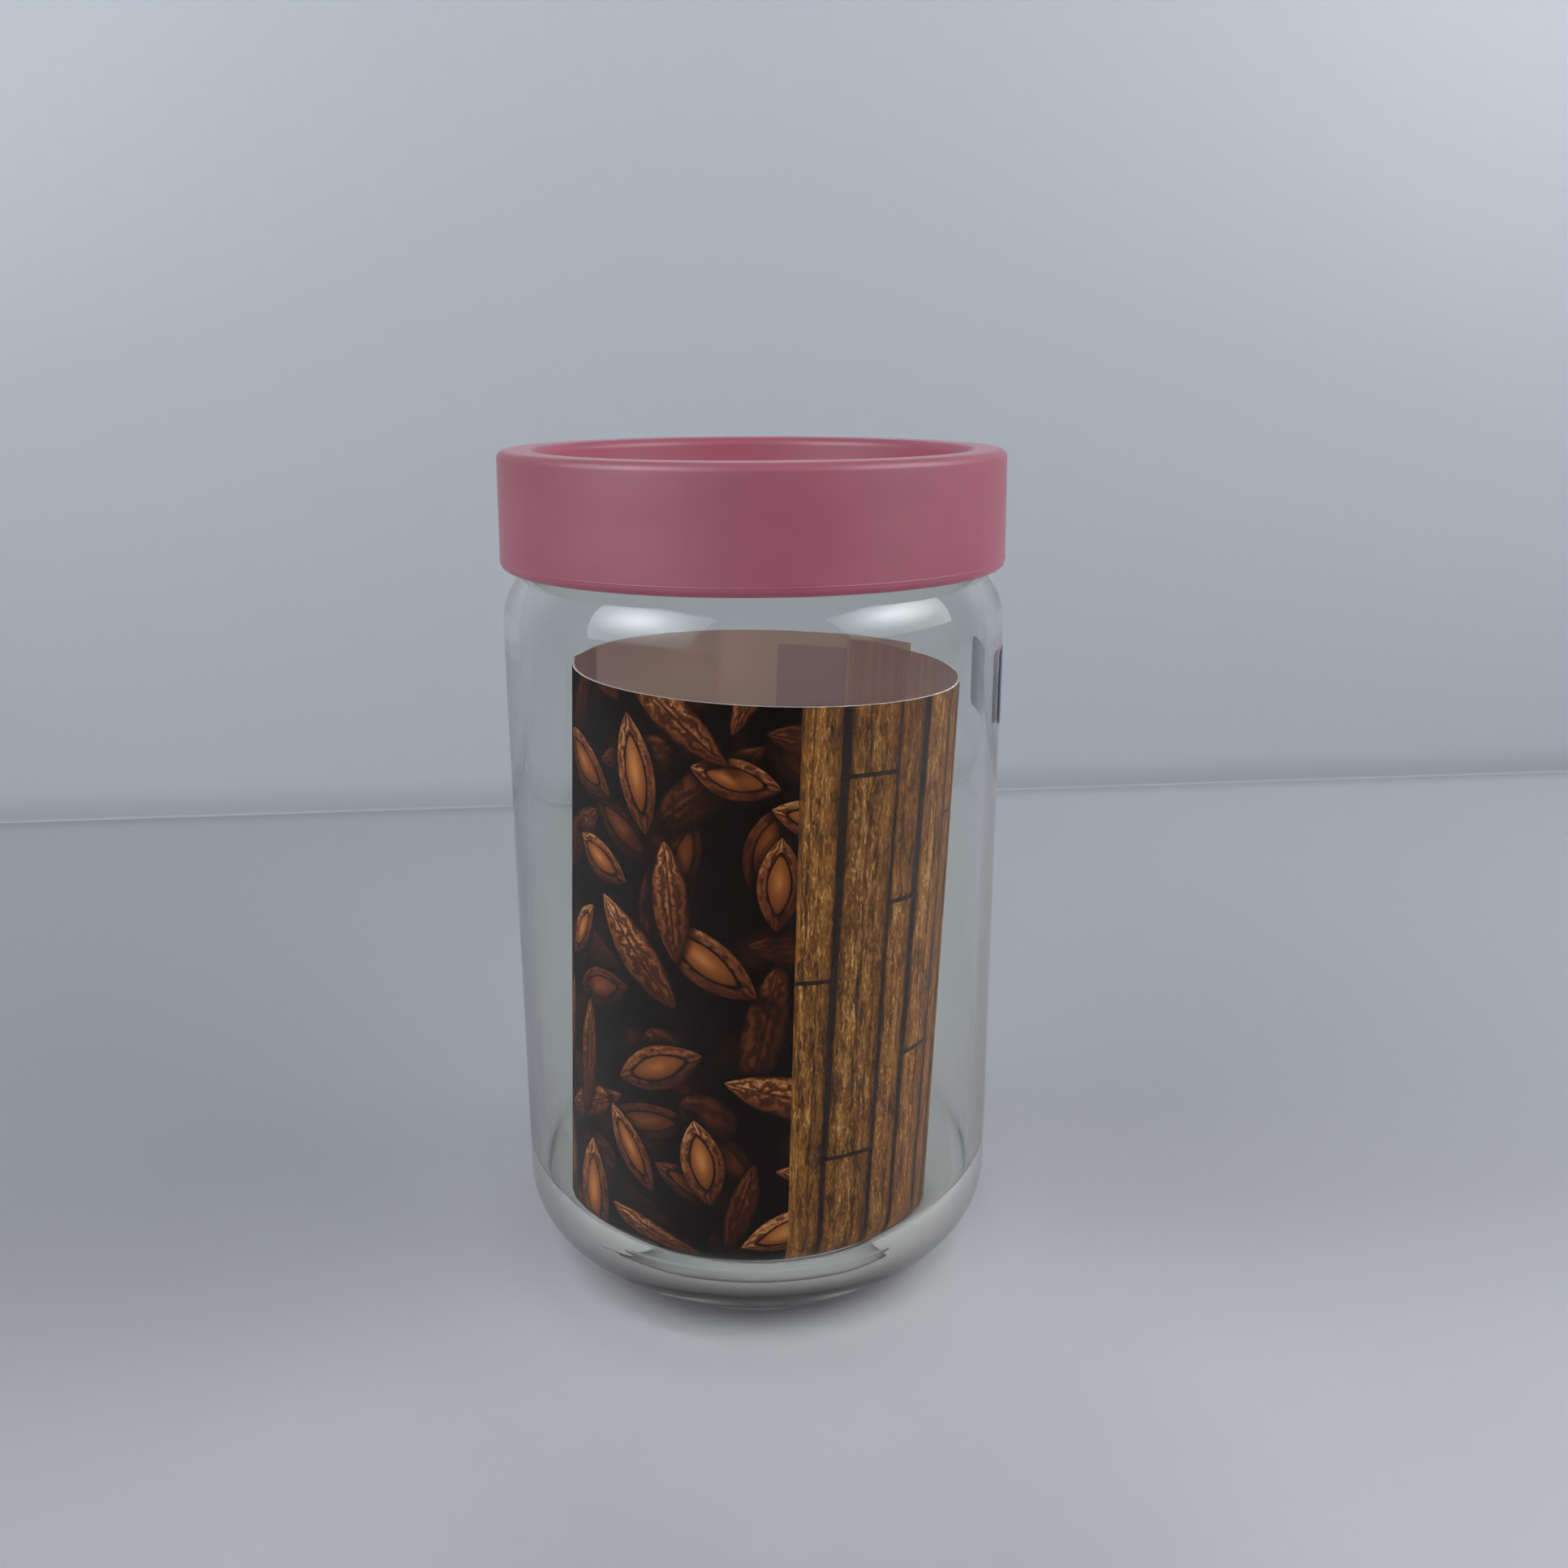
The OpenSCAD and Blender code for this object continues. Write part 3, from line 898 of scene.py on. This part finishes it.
def card_mesh():
    across = columns()
    ups = [SLEEVE_H * i / ROWS for i in range(ROWS + 1)]
    wide = len(across)
    places = [(a, up) for up in ups for a in across]
    verts = [card_point(*place, side) for side in (1, -1) for place in places]
    inner = len(places)
    faces = []
    kinds = []

    def face(indices, kind):
        faces.append(indices)
        kinds.append(kind)

    for i in range(ROWS):
        for k in range(wide - 1):
            a, b = i * wide + k, i * wide + k + 1
            c, d = b + wide, a + wide
            face((a, b, c, d), panel_of((across[k] + across[k + 1]) / 2))
            face((inner + d, inner + c, inner + b, inner + a), INSIDE)
    top = ROWS * wide
    for k in range(wide - 1):
        face((k + 1, k, inner + k, inner + k + 1), EDGE)
        face((top + k, top + k + 1, inner + top + k + 1, inner + top + k), EDGE)
    for i in range(ROWS):
        a, b = i * wide, (i + 1) * wide
        face((a, b, inner + b, inner + a), EDGE)
        a, b = a + wide - 1, b + wide - 1
        face((b, a, inner + a, inner + b), EDGE)
    mesh = bpy.data.meshes.new("card_sleeve_print")
    mesh.from_pydata([v * MM for v in verts], [], faces)
    print_map = mesh.uv_layers.new(name="print")
    for loop in mesh.loops:
        print_map.data[loop.index].uv = places[loop.vertex_index % inner]
    for polygon, kind in zip(mesh.polygons, kinds):
        polygon.material_index = kind
    mesh.shade_smooth()
    mesh.set_sharp_from_angle(angle=SHARP_ANGLE)
    return mesh


PRINT_ROUGH = 0.42


def print_place(tree):
    return add(tree, "ShaderNodeUVMap", uv_map="print").outputs[0]


# Motif group: each copy lays one pod, kernel or nut over what lies below it

def group_with(name, inputs, outputs):
    group = bpy.data.node_groups.new(name, "ShaderNodeTree")
    for label, kind in inputs:
        group.interface.new_socket(name=label, in_out="INPUT", socket_type=kind)
    for label, kind in outputs:
        group.interface.new_socket(name=label, in_out="OUTPUT", socket_type=kind)
    source = group.nodes.new("NodeGroupInput").outputs
    target = group.nodes.new("NodeGroupOutput").inputs
    return group, source, target


VECTOR = "NodeSocketVector"
FLOAT = "NodeSocketFloat"
LIGHT_DIR = math.radians(115)
FAR = 1000.0
SHADOW_REACH = 0.55


def motif_group():
    inputs = [("Place", VECTOR), ("Form", VECTOR), ("Look", VECTOR), ("Centre", VECTOR), ("Turn", VECTOR),
              ("Size", VECTOR), ("Point", FLOAT), ("Tone", FLOAT), ("Kind", FLOAT), ("Light", VECTOR)]
    outputs = [("Place", VECTOR), ("Form", VECTOR), ("Look", VECTOR)]
    tree, source, target = group_with("print_motif", inputs, outputs)
    local = add(tree, "ShaderNodeMapping", {"Vector": source["Place"], "Location": source["Centre"],
                                            "Rotation": source["Turn"], "Scale": source["Size"]},
                vector_type="TEXTURE").outputs[0]
    x, y, _ = split(tree, local)
    belly = rest_of_one(tree, times(tree, x, x))
    width = calc(tree, "POWER", belly, source["Point"])
    across = calc(tree, "DIVIDE", y, calc(tree, "MAXIMUM", width, 0.02))
    out_side = minus(tree, size_of(tree, y), width)
    out_end = minus(tree, size_of(tree, x), 1.0)
    outside = calc(tree, "MAXIMUM", out_side, out_end)
    inside = calc(tree, "LESS_THAN", outside, 0.0)
    lit = dot(tree, join(tree, x, across, 0.0), source["Light"])
    old_kind, old_light, old_shade = split(tree, source["Look"])
    shade = times(tree, old_shade, ramp_between(tree, outside, 0.0, SHADOW_REACH, 0.25, 1.0))
    below = join(tree, old_kind, old_light, shade)
    form = mix_vector(tree, inside, source["Form"], join(tree, x, across, source["Tone"]))
    look = mix_vector(tree, inside, below, join(tree, source["Kind"], lit, 1.0))
    # The place goes through unchanged, in a way that makes the copies run one after another
    never = calc(tree, "LESS_THAN", outside, -FAR)
    put(tree, target["Place"], mix_vector(tree, never, source["Place"], form))
    put(tree, target["Form"], form)
    put(tree, target["Look"], look)
    return tree


POD, KERNEL, NUT = 0.0, 1.0, 2.0
# Tone and spacing of each layer, and length, width and pointedness of each kind of motif
MOTIF_LAYERS = ((0.34, 17.0), (0.60, 16.0), (1.0, 17.0))
MOTIF_SIZES = {POD: (11.5, 3.3, 0.8), KERNEL: (9.6, 3.9, 0.9), NUT: (5.2, 4.4, 0.5)}
MOTIF_DRIFT = 0.3
MOTIF_SEED = 12
# Half length and half width of the seed that lies open in a kernel, in shares of the kernel's
SEED_LENGTH = 0.62
SEED_WIDTH = 0.52
WRINKLES = 9.0
WRINKLE_WAVE = 16.0


def motif_places():
    """Motifs from the back layer to the front one, each with what its copy of the group takes."""
    draw = random.Random(MOTIF_SEED)
    found = []
    for layer, (tone, spacing) in enumerate(MOTIF_LAYERS):
        rows = math.ceil(SLEEVE_H / spacing) + 1
        count = math.ceil((CANES_LEFT - PODS_LEFT) / spacing) + 1
        for i in range(rows):
            for k in range(count):
                kind = draw.choice((POD, POD, KERNEL, KERNEL, NUT))
                shift = (i % 2) / 2 + layer / 3
                across = PODS_LEFT + (k + shift - 0.4 + draw.uniform(-MOTIF_DRIFT, MOTIF_DRIFT)) * spacing
                up = (i + layer / 2.6 - 0.4 + draw.uniform(-MOTIF_DRIFT, MOTIF_DRIFT)) * spacing
                length, width, point = MOTIF_SIZES[kind]
                grow = draw.uniform(0.8, 1.2)
                turn = draw.uniform(0, FULL_TURN)
                found.append({"Centre": (across, up, 0), "Turn": (0, 0, turn), "Point": point, "Kind": kind,
                              "Size": (length * grow, width * grow * draw.uniform(0.85, 1.15), 1),
                              "Tone": tone * draw.uniform(0.8, 1.1),
                              "Light": (math.cos(LIGHT_DIR - turn), math.sin(LIGHT_DIR - turn), 0)})
    return found


def pods_material():
    material, tree, shader, _ = sheet_material("print_pods", PRINT_ROUGH, 0.0)
    place = print_place(tree)
    passed = place
    form = (0.0, 0.0, 0.03)
    look = (0.0, 0.0, 1.0)
    group = motif_group()
    for motif in motif_places():
        values = {"Place": passed, "Form": form, "Look": look, **motif}
        passed, form, look = add(tree, "ShaderNodeGroup", values, node_tree=group).outputs
    along, across, tone = split(tree, form)
    kind, lit, shade = split(tree, look)
    blotch = noise(tree, place, 0.45, detail=4.0, roughness=0.6)
    grit = noise(tree, place, 2.4, detail=3.0, roughness=0.65)
    flat = size_of(tree, across)
    bulge = calc(tree, "SQRT", rest_of_one(tree, times(tree, across, across)))
    # Wrinkles that run along a motif, waved by the blotches
    phase = plus(tree, times(tree, across, WRINKLES), times(tree, blotch, WRINKLE_WAVE))
    husk = scale_add(tree, calc(tree, "SINE", phase), 0.275, 0.725)
    husk = times(tree, husk, scale_add(tree, grit, 1.1, 0.35))
    # A kernel lies open: a smooth seed in a husk with a pale rim
    is_kernel = calc(tree, "COMPARE", kind, KERNEL, 0.2)
    is_nut = calc(tree, "COMPARE", kind, NUT, 0.2)
    seed_far = far_off(tree, times(tree, along, 1 / SEED_LENGTH), times(tree, across, 1 / SEED_WIDTH))
    seed = times(tree, ramp_between(tree, seed_far, 1.0, 0.9), is_kernel)
    groove = times(tree, ramp_between(tree, size_of(tree, minus(tree, seed_far, 1.06)), 0.14, 0.02),
                   is_kernel)
    rim = times(tree, ramp_between(tree, flat, 0.76, 0.92), scale_add(tree, is_kernel, 0.6, 0.12))
    crease = times(tree, ramp_between(tree, flat, 0.14, 0.02),
                   minus(tree, 1.0, calc(tree, "MAXIMUM", is_kernel, is_nut)))
    level = times(tree, husk, scale_add(tree, bulge, 0.7, 0.3))
    seed_level = scale_add(tree, rest_of_one(tree, seed_far), 0.5, 0.55)
    level = add(tree, "ShaderNodeMix", {0: seed, 2: level, 3: seed_level}).outputs[0]
    level = plus(tree, level, times(tree, rim, 0.45))
    level = times(tree, level, scale_add(tree, lit, 0.32, 0.85), scale_add(tree, groove, -0.75, 1.0),
                  scale_add(tree, crease, -0.5, 1.0), tone, shade)
    husks = colour_ramp(tree, level, POD_STOPS)
    seeds = colour_ramp(tree, level, SEED_STOPS)
    base = mix_colour(tree, seed, husks, seeds)
    put_base(tree, shader, base)
    return material


POD_STOPS = ((0.0, (0.0022, 0.0007, 0.0005)), (0.14, (0.006, 0.0018, 0.0009)),
             (0.35, (0.030, 0.0072, 0.0027)), (0.62, (0.098, 0.029, 0.010)), (1.0, (0.33, 0.165, 0.062)))
SEED_STOPS = ((0.0, (0.003, 0.001, 0.0006)), (0.3, (0.045, 0.011, 0.003)), (0.6, (0.135, 0.040, 0.010)),
              (1.0, (0.34, 0.145, 0.040)))


# Canes: each copy of the group lays one straight cane, cut square at both ends

def cane_group():
    inputs = [("Place", VECTOR), ("State", VECTOR), ("Middle", FLOAT), ("Slant", FLOAT), ("Half", FLOAT),
              ("Low", FLOAT), ("High", FLOAT), ("Tone", FLOAT), ("Number", FLOAT)]
    tree, source, target = group_with("print_cane", inputs, [("State", VECTOR)])
    u, v, _ = split(tree, source["Place"])
    middle = scale_add(tree, v, source["Slant"], source["Middle"])
    x = calc(tree, "DIVIDE", minus(tree, u, middle), source["Half"])
    inside = calc(tree, "LESS_THAN", size_of(tree, x), 1.0)
    above = is_over(tree, v, source["Low"])
    under = calc(tree, "LESS_THAN", v, source["High"])
    inside = times(tree, inside, above, under)
    state = mix_vector(tree, inside, source["State"], join(tree, x, source["Tone"], source["Number"]))
    put(tree, target["State"], state)
    return tree


# Each column of canes: width, slant, and the heights at which one cane ends and the next begins
CANE_COLUMNS = (
    (7.6, 0.012, (58.0,)), (10.2, 0.020, (23.0, 95.0)), (6.4, 0.016, (71.0,)), (9.0, 0.024, (40.0,)),
    (5.6, 0.018, (84.0,)), (8.4, 0.014, (15.0, 62.0)), (10.4, 0.010, (99.0,)), (7.0, 0.006, (35.0,)),
    (9.4, 0.004, (78.0,)), (8.2, 0.000, (50.0,)), (10.0, -0.002, (20.0, 90.0)), (8.0, 0.0, (66.0,)),
)
CANE_GAP = 0.75
JOINT_GAP = 0.8
CANE_START = -1.5
CANE_TONES = (0.68, 0.90)
CANE_SEED = 5
CANE_STOPS = ((0.0, (0.002, 0.0008, 0.0004)), (0.2, (0.035, 0.011, 0.002)), (0.5, (0.150, 0.053, 0.006)),
              (0.8, (0.27, 0.126, 0.024)), (1.0, (0.45, 0.29, 0.115)))


def cane_pieces():
    draw = random.Random(CANE_SEED)
    found = []
    left = CANES_LEFT + CANE_START
    for width, slant, joints in CANE_COLUMNS:
        heights = (-JOINT_GAP, *joints, SLEEVE_H + JOINT_GAP)
        for low, high in zip(heights, heights[1:]):
            found.append({"Middle": left + width / 2, "Slant": slant, "Half": width / 2 - CANE_GAP / 2,
                          "Low": low + JOINT_GAP / 2, "High": high - JOINT_GAP / 2,
                          "Tone": draw.uniform(*CANE_TONES), "Number": float(len(found) + 1)})
        left += width
    return found


def canes_material():
    material, tree, shader, out = sheet_material("print_canes", PRINT_ROUGH, 0.0)
    place = print_place(tree)
    state = (0.0, 0.0, 0.0)
    group = cane_group()
    for piece in cane_pieces():
        made = add(tree, "ShaderNodeGroup", {"Place": place, "State": state, **piece}, node_tree=group)
        state = made.outputs["State"]
    x, tone, number = split(tree, state)
    u, v, _ = split(tree, place)
    own = scale_add(tree, number, 13.7, u)
    grain = noise(tree, join(tree, own, times(tree, v, 0.08), number), 1.2, detail=4.0, roughness=0.6)
    flecks = noise(tree, join(tree, own, times(tree, v, 0.2), 0.0), 2.4, detail=3.0, roughness=0.6,
                   distortion=1.4)
    patch = noise(tree, join(tree, own, times(tree, v, 0.4), number), 0.42, detail=3.0)
    seam = times(tree, calc(tree, "SINE", times(tree, number, 2.4)), 0.45)
    seam = plus(tree, seam, times(tree, minus(tree, patch, 0.5), 0.5))
    seam = ramp_between(tree, size_of(tree, minus(tree, x, seam)), 0.0, 0.10, 0.45, 1.0)
    roll = calc(tree, "SQRT", rest_of_one(tree, calc(tree, "POWER", size_of(tree, x), 4.0)))
    level = scale_add(tree, grain, 1.5, -0.22)
    level = plus(tree, level, times(tree, minus(tree, patch, 0.5), 0.9))
    level = plus(tree, level, ramp_between(tree, flecks, 0.53, 0.62, 0.0, 0.50))
    level = minus(tree, level, ramp_between(tree, flecks, 0.46, 0.36, 0.0, 0.34))
    level = times(tree, level, scale_add(tree, roll, 0.88, 0.12), scale_add(tree, x, -0.12, 1.0),
                  tone, seam)
    base = colour_ramp(tree, level, CANE_STOPS)
    put_base(tree, shader, base)
    let_through(tree, shader, out, 0.3, mix_colour(tree, 0.5, base, (1, 1, 1, 1)))
    return material


# Notes panel: plain, with a blank dark block and a thin frame line

NOTES_DARK = (0.37, 0.29, 0.20, 1)
NOTES_COLOUR = (0.42, 0.34, 0.24, 1)
LINE_COLOUR = (0.12, 0.05, 0.025, 1)
BLOCK_COLOUR = (0.055, 0.045, 0.085, 1)
BLOCK_LEFT = -132.5
BLOCK_RIGHT = -117.0
BLOCK_LOW = 74.0
BLOCK_HIGH = 104.5
FRAME_START = 19.5
FRAME_INSET = 3.0
FRAME_LINE = 0.35


def box_mask(tree, place, left, right, low, high):
    """1 inside a rectangle of the print and 0 outside."""
    u, v, _ = split(tree, place)
    middle_u, middle_v = (left + right) / 2, (low + high) / 2
    off_u = size_of(tree, minus(tree, u, middle_u))
    off_v = size_of(tree, minus(tree, v, middle_v))
    in_u = calc(tree, "LESS_THAN", off_u, (right - left) / 2)
    in_v = calc(tree, "LESS_THAN", off_v, (high - low) / 2)
    return times(tree, in_u, in_v)


def notes_material():
    material, tree, shader, out = sheet_material("print_notes", 0.38, 0.4)
    place = print_place(tree)
    paper = noise(tree, place, 1.8, detail=4.0, roughness=0.6)
    base = mix_colour(tree, paper, NOTES_DARK, NOTES_COLOUR)
    left, right = PRINT_END + LAP_W + FRAME_START, PODS_LEFT - FRAME_INSET
    outer = box_mask(tree, place, left, right, FRAME_INSET, SLEEVE_H - FRAME_INSET)
    inner = box_mask(tree, place, left + FRAME_LINE, right - FRAME_LINE,
                     FRAME_INSET + FRAME_LINE, SLEEVE_H - FRAME_INSET - FRAME_LINE)
    line = minus(tree, outer, inner)
    base = mix_colour(tree, line, base, LINE_COLOUR)
    block = box_mask(tree, place, BLOCK_LEFT, BLOCK_RIGHT, BLOCK_LOW, BLOCK_HIGH)
    base = mix_colour(tree, block, base, BLOCK_COLOUR)
    put_base(tree, shader, base)
    let_through(tree, shader, out, 0.45, mix_colour(tree, 0.5, base, (1, 1, 1, 1)))
    put_bump(tree, shader, paper, 0.01, 0.2)
    return material


# The card's inner side: bare, with the print showing through faintly

BARE_PODS = (0.53, 0.365, 0.34, 1)
BARE_CANES = (0.55, 0.355, 0.32, 1)
BARE_CANES_PALE = (0.64, 0.415, 0.365, 1)
BARE_NOTES = (0.71, 0.53, 0.46, 1)
BARE_BLOCK = (0.51, 0.365, 0.375, 1)
BARE_MOTTLE = (0.30, 0.20, 0.18, 1)
BARE_FIBRE = (0.36, 0.28, 0.26, 1)
BARE_THROUGH = (0.64, 0.545, 0.51, 1)
EDGE_COLOURS = ((0.34, 0.32, 0.32, 1), (0.50, 0.48, 0.48, 1))


def inside_material():
    material, tree, shader, out = sheet_material("card_inside", 0.6, 0.25)
    place = print_place(tree)
    u, v, _ = split(tree, place)
    mottle = noise(tree, place, 0.5, detail=4.0)
    fine = noise(tree, place, 4.0, detail=3.0)
    bands = noise(tree, join(tree, u, times(tree, v, 0.01), 0.0), 0.32, detail=3.0, roughness=0.7)
    canes = mix_colour(tree, ramp_between(tree, bands, 0.40, 0.60), BARE_CANES, BARE_CANES_PALE)
    base = mix_colour(tree, is_over(tree, u, CANES_LEFT), BARE_PODS, canes)
    base = mix_colour(tree, calc(tree, "LESS_THAN", u, PODS_LEFT), base, BARE_NOTES)
    block = box_mask(tree, place, BLOCK_LEFT, BLOCK_RIGHT, BLOCK_LOW, BLOCK_HIGH)
    base = mix_colour(tree, block, base, BARE_BLOCK)
    base = mix_colour(tree, times(tree, mottle, 0.2), base, BARE_MOTTLE)
    base = mix_colour(tree, times(tree, fine, 0.12), base, BARE_FIBRE)
    put_base(tree, shader, base)
    put_bump(tree, shader, fine, 0.02, 0.3)
    let_through(tree, shader, out, 0.2, BARE_THROUGH)
    return material


def card_edge_material():
    material, tree, shader, _ = sheet_material("card_edge", 0.7)
    fibres = noise(tree, object_place(tree), 1500.0, detail=3.0)
    put_base(tree, shader, mix_colour(tree, fibres, *EDGE_COLOURS))
    put_bump(tree, shader, fibres, 0.03, 0.5)
    return material


def make_sleeve():
    mesh = card_mesh()
    for make in (pods_material, canes_material, notes_material, inside_material, card_edge_material):
        mesh.materials.append(make())
    new_piece(mesh, "sleeve", "printed_card", "card_sleeve")


# Side label

LABEL_ACROSS = 24
LABEL_ROWS = 18
LABEL_CORNER = 1.0
GLUE_GAP = 0.02
LABEL_COLOURS = ((0.045, 0.036, 0.085, 1), (0.075, 0.060, 0.120, 1))
LABEL_WORN = (0.16, 0.14, 0.20, 1)
LABEL_BACK_COLOURS = ((0.10, 0.09, 0.13, 1), (0.14, 0.13, 0.17, 1))


def label_material():
    material, tree, shader, _ = sheet_material("dark_label", 0.42, 0.4)
    place = object_place(tree)
    fibres = noise(tree, place, 1400.0, detail=3.0)
    wear = noise(tree, place, 160.0, detail=3.0)
    base = mix_colour(tree, fibres, *LABEL_COLOURS)
    base = mix_colour(tree, ramp_between(tree, wear, 0.62, 0.8, 0.0, 0.3), base, LABEL_WORN)
    put_base(tree, shader, base)
    put_bump(tree, shader, fibres, 0.015, 0.4)
    return material


def label_back_material():
    material, tree, shader, _ = sheet_material("label_back", 0.5)
    fibres = noise(tree, object_place(tree), 900.0, detail=3.0)
    put_base(tree, shader, mix_colour(tree, fibres, *LABEL_BACK_COLOURS))
    return material


def make_label():
    """A thin curved sheet with rounded corners on the wall."""
    verts = []
    for r in (JAR_R + LABEL_T, JAR_R + GLUE_GAP):
        for i in range(LABEL_ROWS + 1):
            up = (i / LABEL_ROWS - 0.5) * LABEL_H
            cut = max(0, abs(up) - (LABEL_H / 2 - LABEL_CORNER))
            half = LABEL_W / 2 - LABEL_CORNER + math.sqrt(max(0, LABEL_CORNER ** 2 - cut ** 2))
            for k in range(LABEL_ACROSS + 1):
                turn = LABEL_DIR + (2 * k / LABEL_ACROSS - 1) * half / JAR_R
                verts.append((r * math.cos(turn), r * math.sin(turn), LABEL_Z + LABEL_H / 2 + up))
    wide = LABEL_ACROSS + 1
    back = wide * (LABEL_ROWS + 1)
    faces = []
    for i in range(LABEL_ROWS):
        for k in range(LABEL_ACROSS):
            a = i * wide + k
            faces.append((a, a + 1, a + 1 + wide, a + wide))
            faces.append((back + a + wide, back + a + 1 + wide, back + a + 1, back + a))
    border = list(range(wide))
    border += [i * wide + wide - 1 for i in range(1, LABEL_ROWS + 1)]
    border += [LABEL_ROWS * wide + k for k in reversed(range(wide - 1))]
    border += [i * wide for i in reversed(range(1, LABEL_ROWS))]
    for a, b in zip(border, border[1:] + border[:1]):
        faces.append((b, a, back + a, back + b))
    mesh = finish_mesh("side_label_fine", verts, faces)
    mesh.materials.append(label_material())
    mesh.materials.append(label_back_material())
    for polygon in mesh.polygons:
        out = Vector((polygon.center.x, polygon.center.y, 0)).normalized()
        polygon.material_index = 1 if polygon.normal.dot(out) < -0.5 else 0
    new_piece(mesh, "jar", "dark_label", "side_label")


make_camera()
make_world()
make_sweep()
for panel in PANELS:
    make_panel(*panel)
for window in WINDOWS:
    make_window(*window)
make_glass()
make_lid()
make_seal()
make_sleeve()
make_label()

bpy.context.scene.view_settings.view_transform = "Standard"
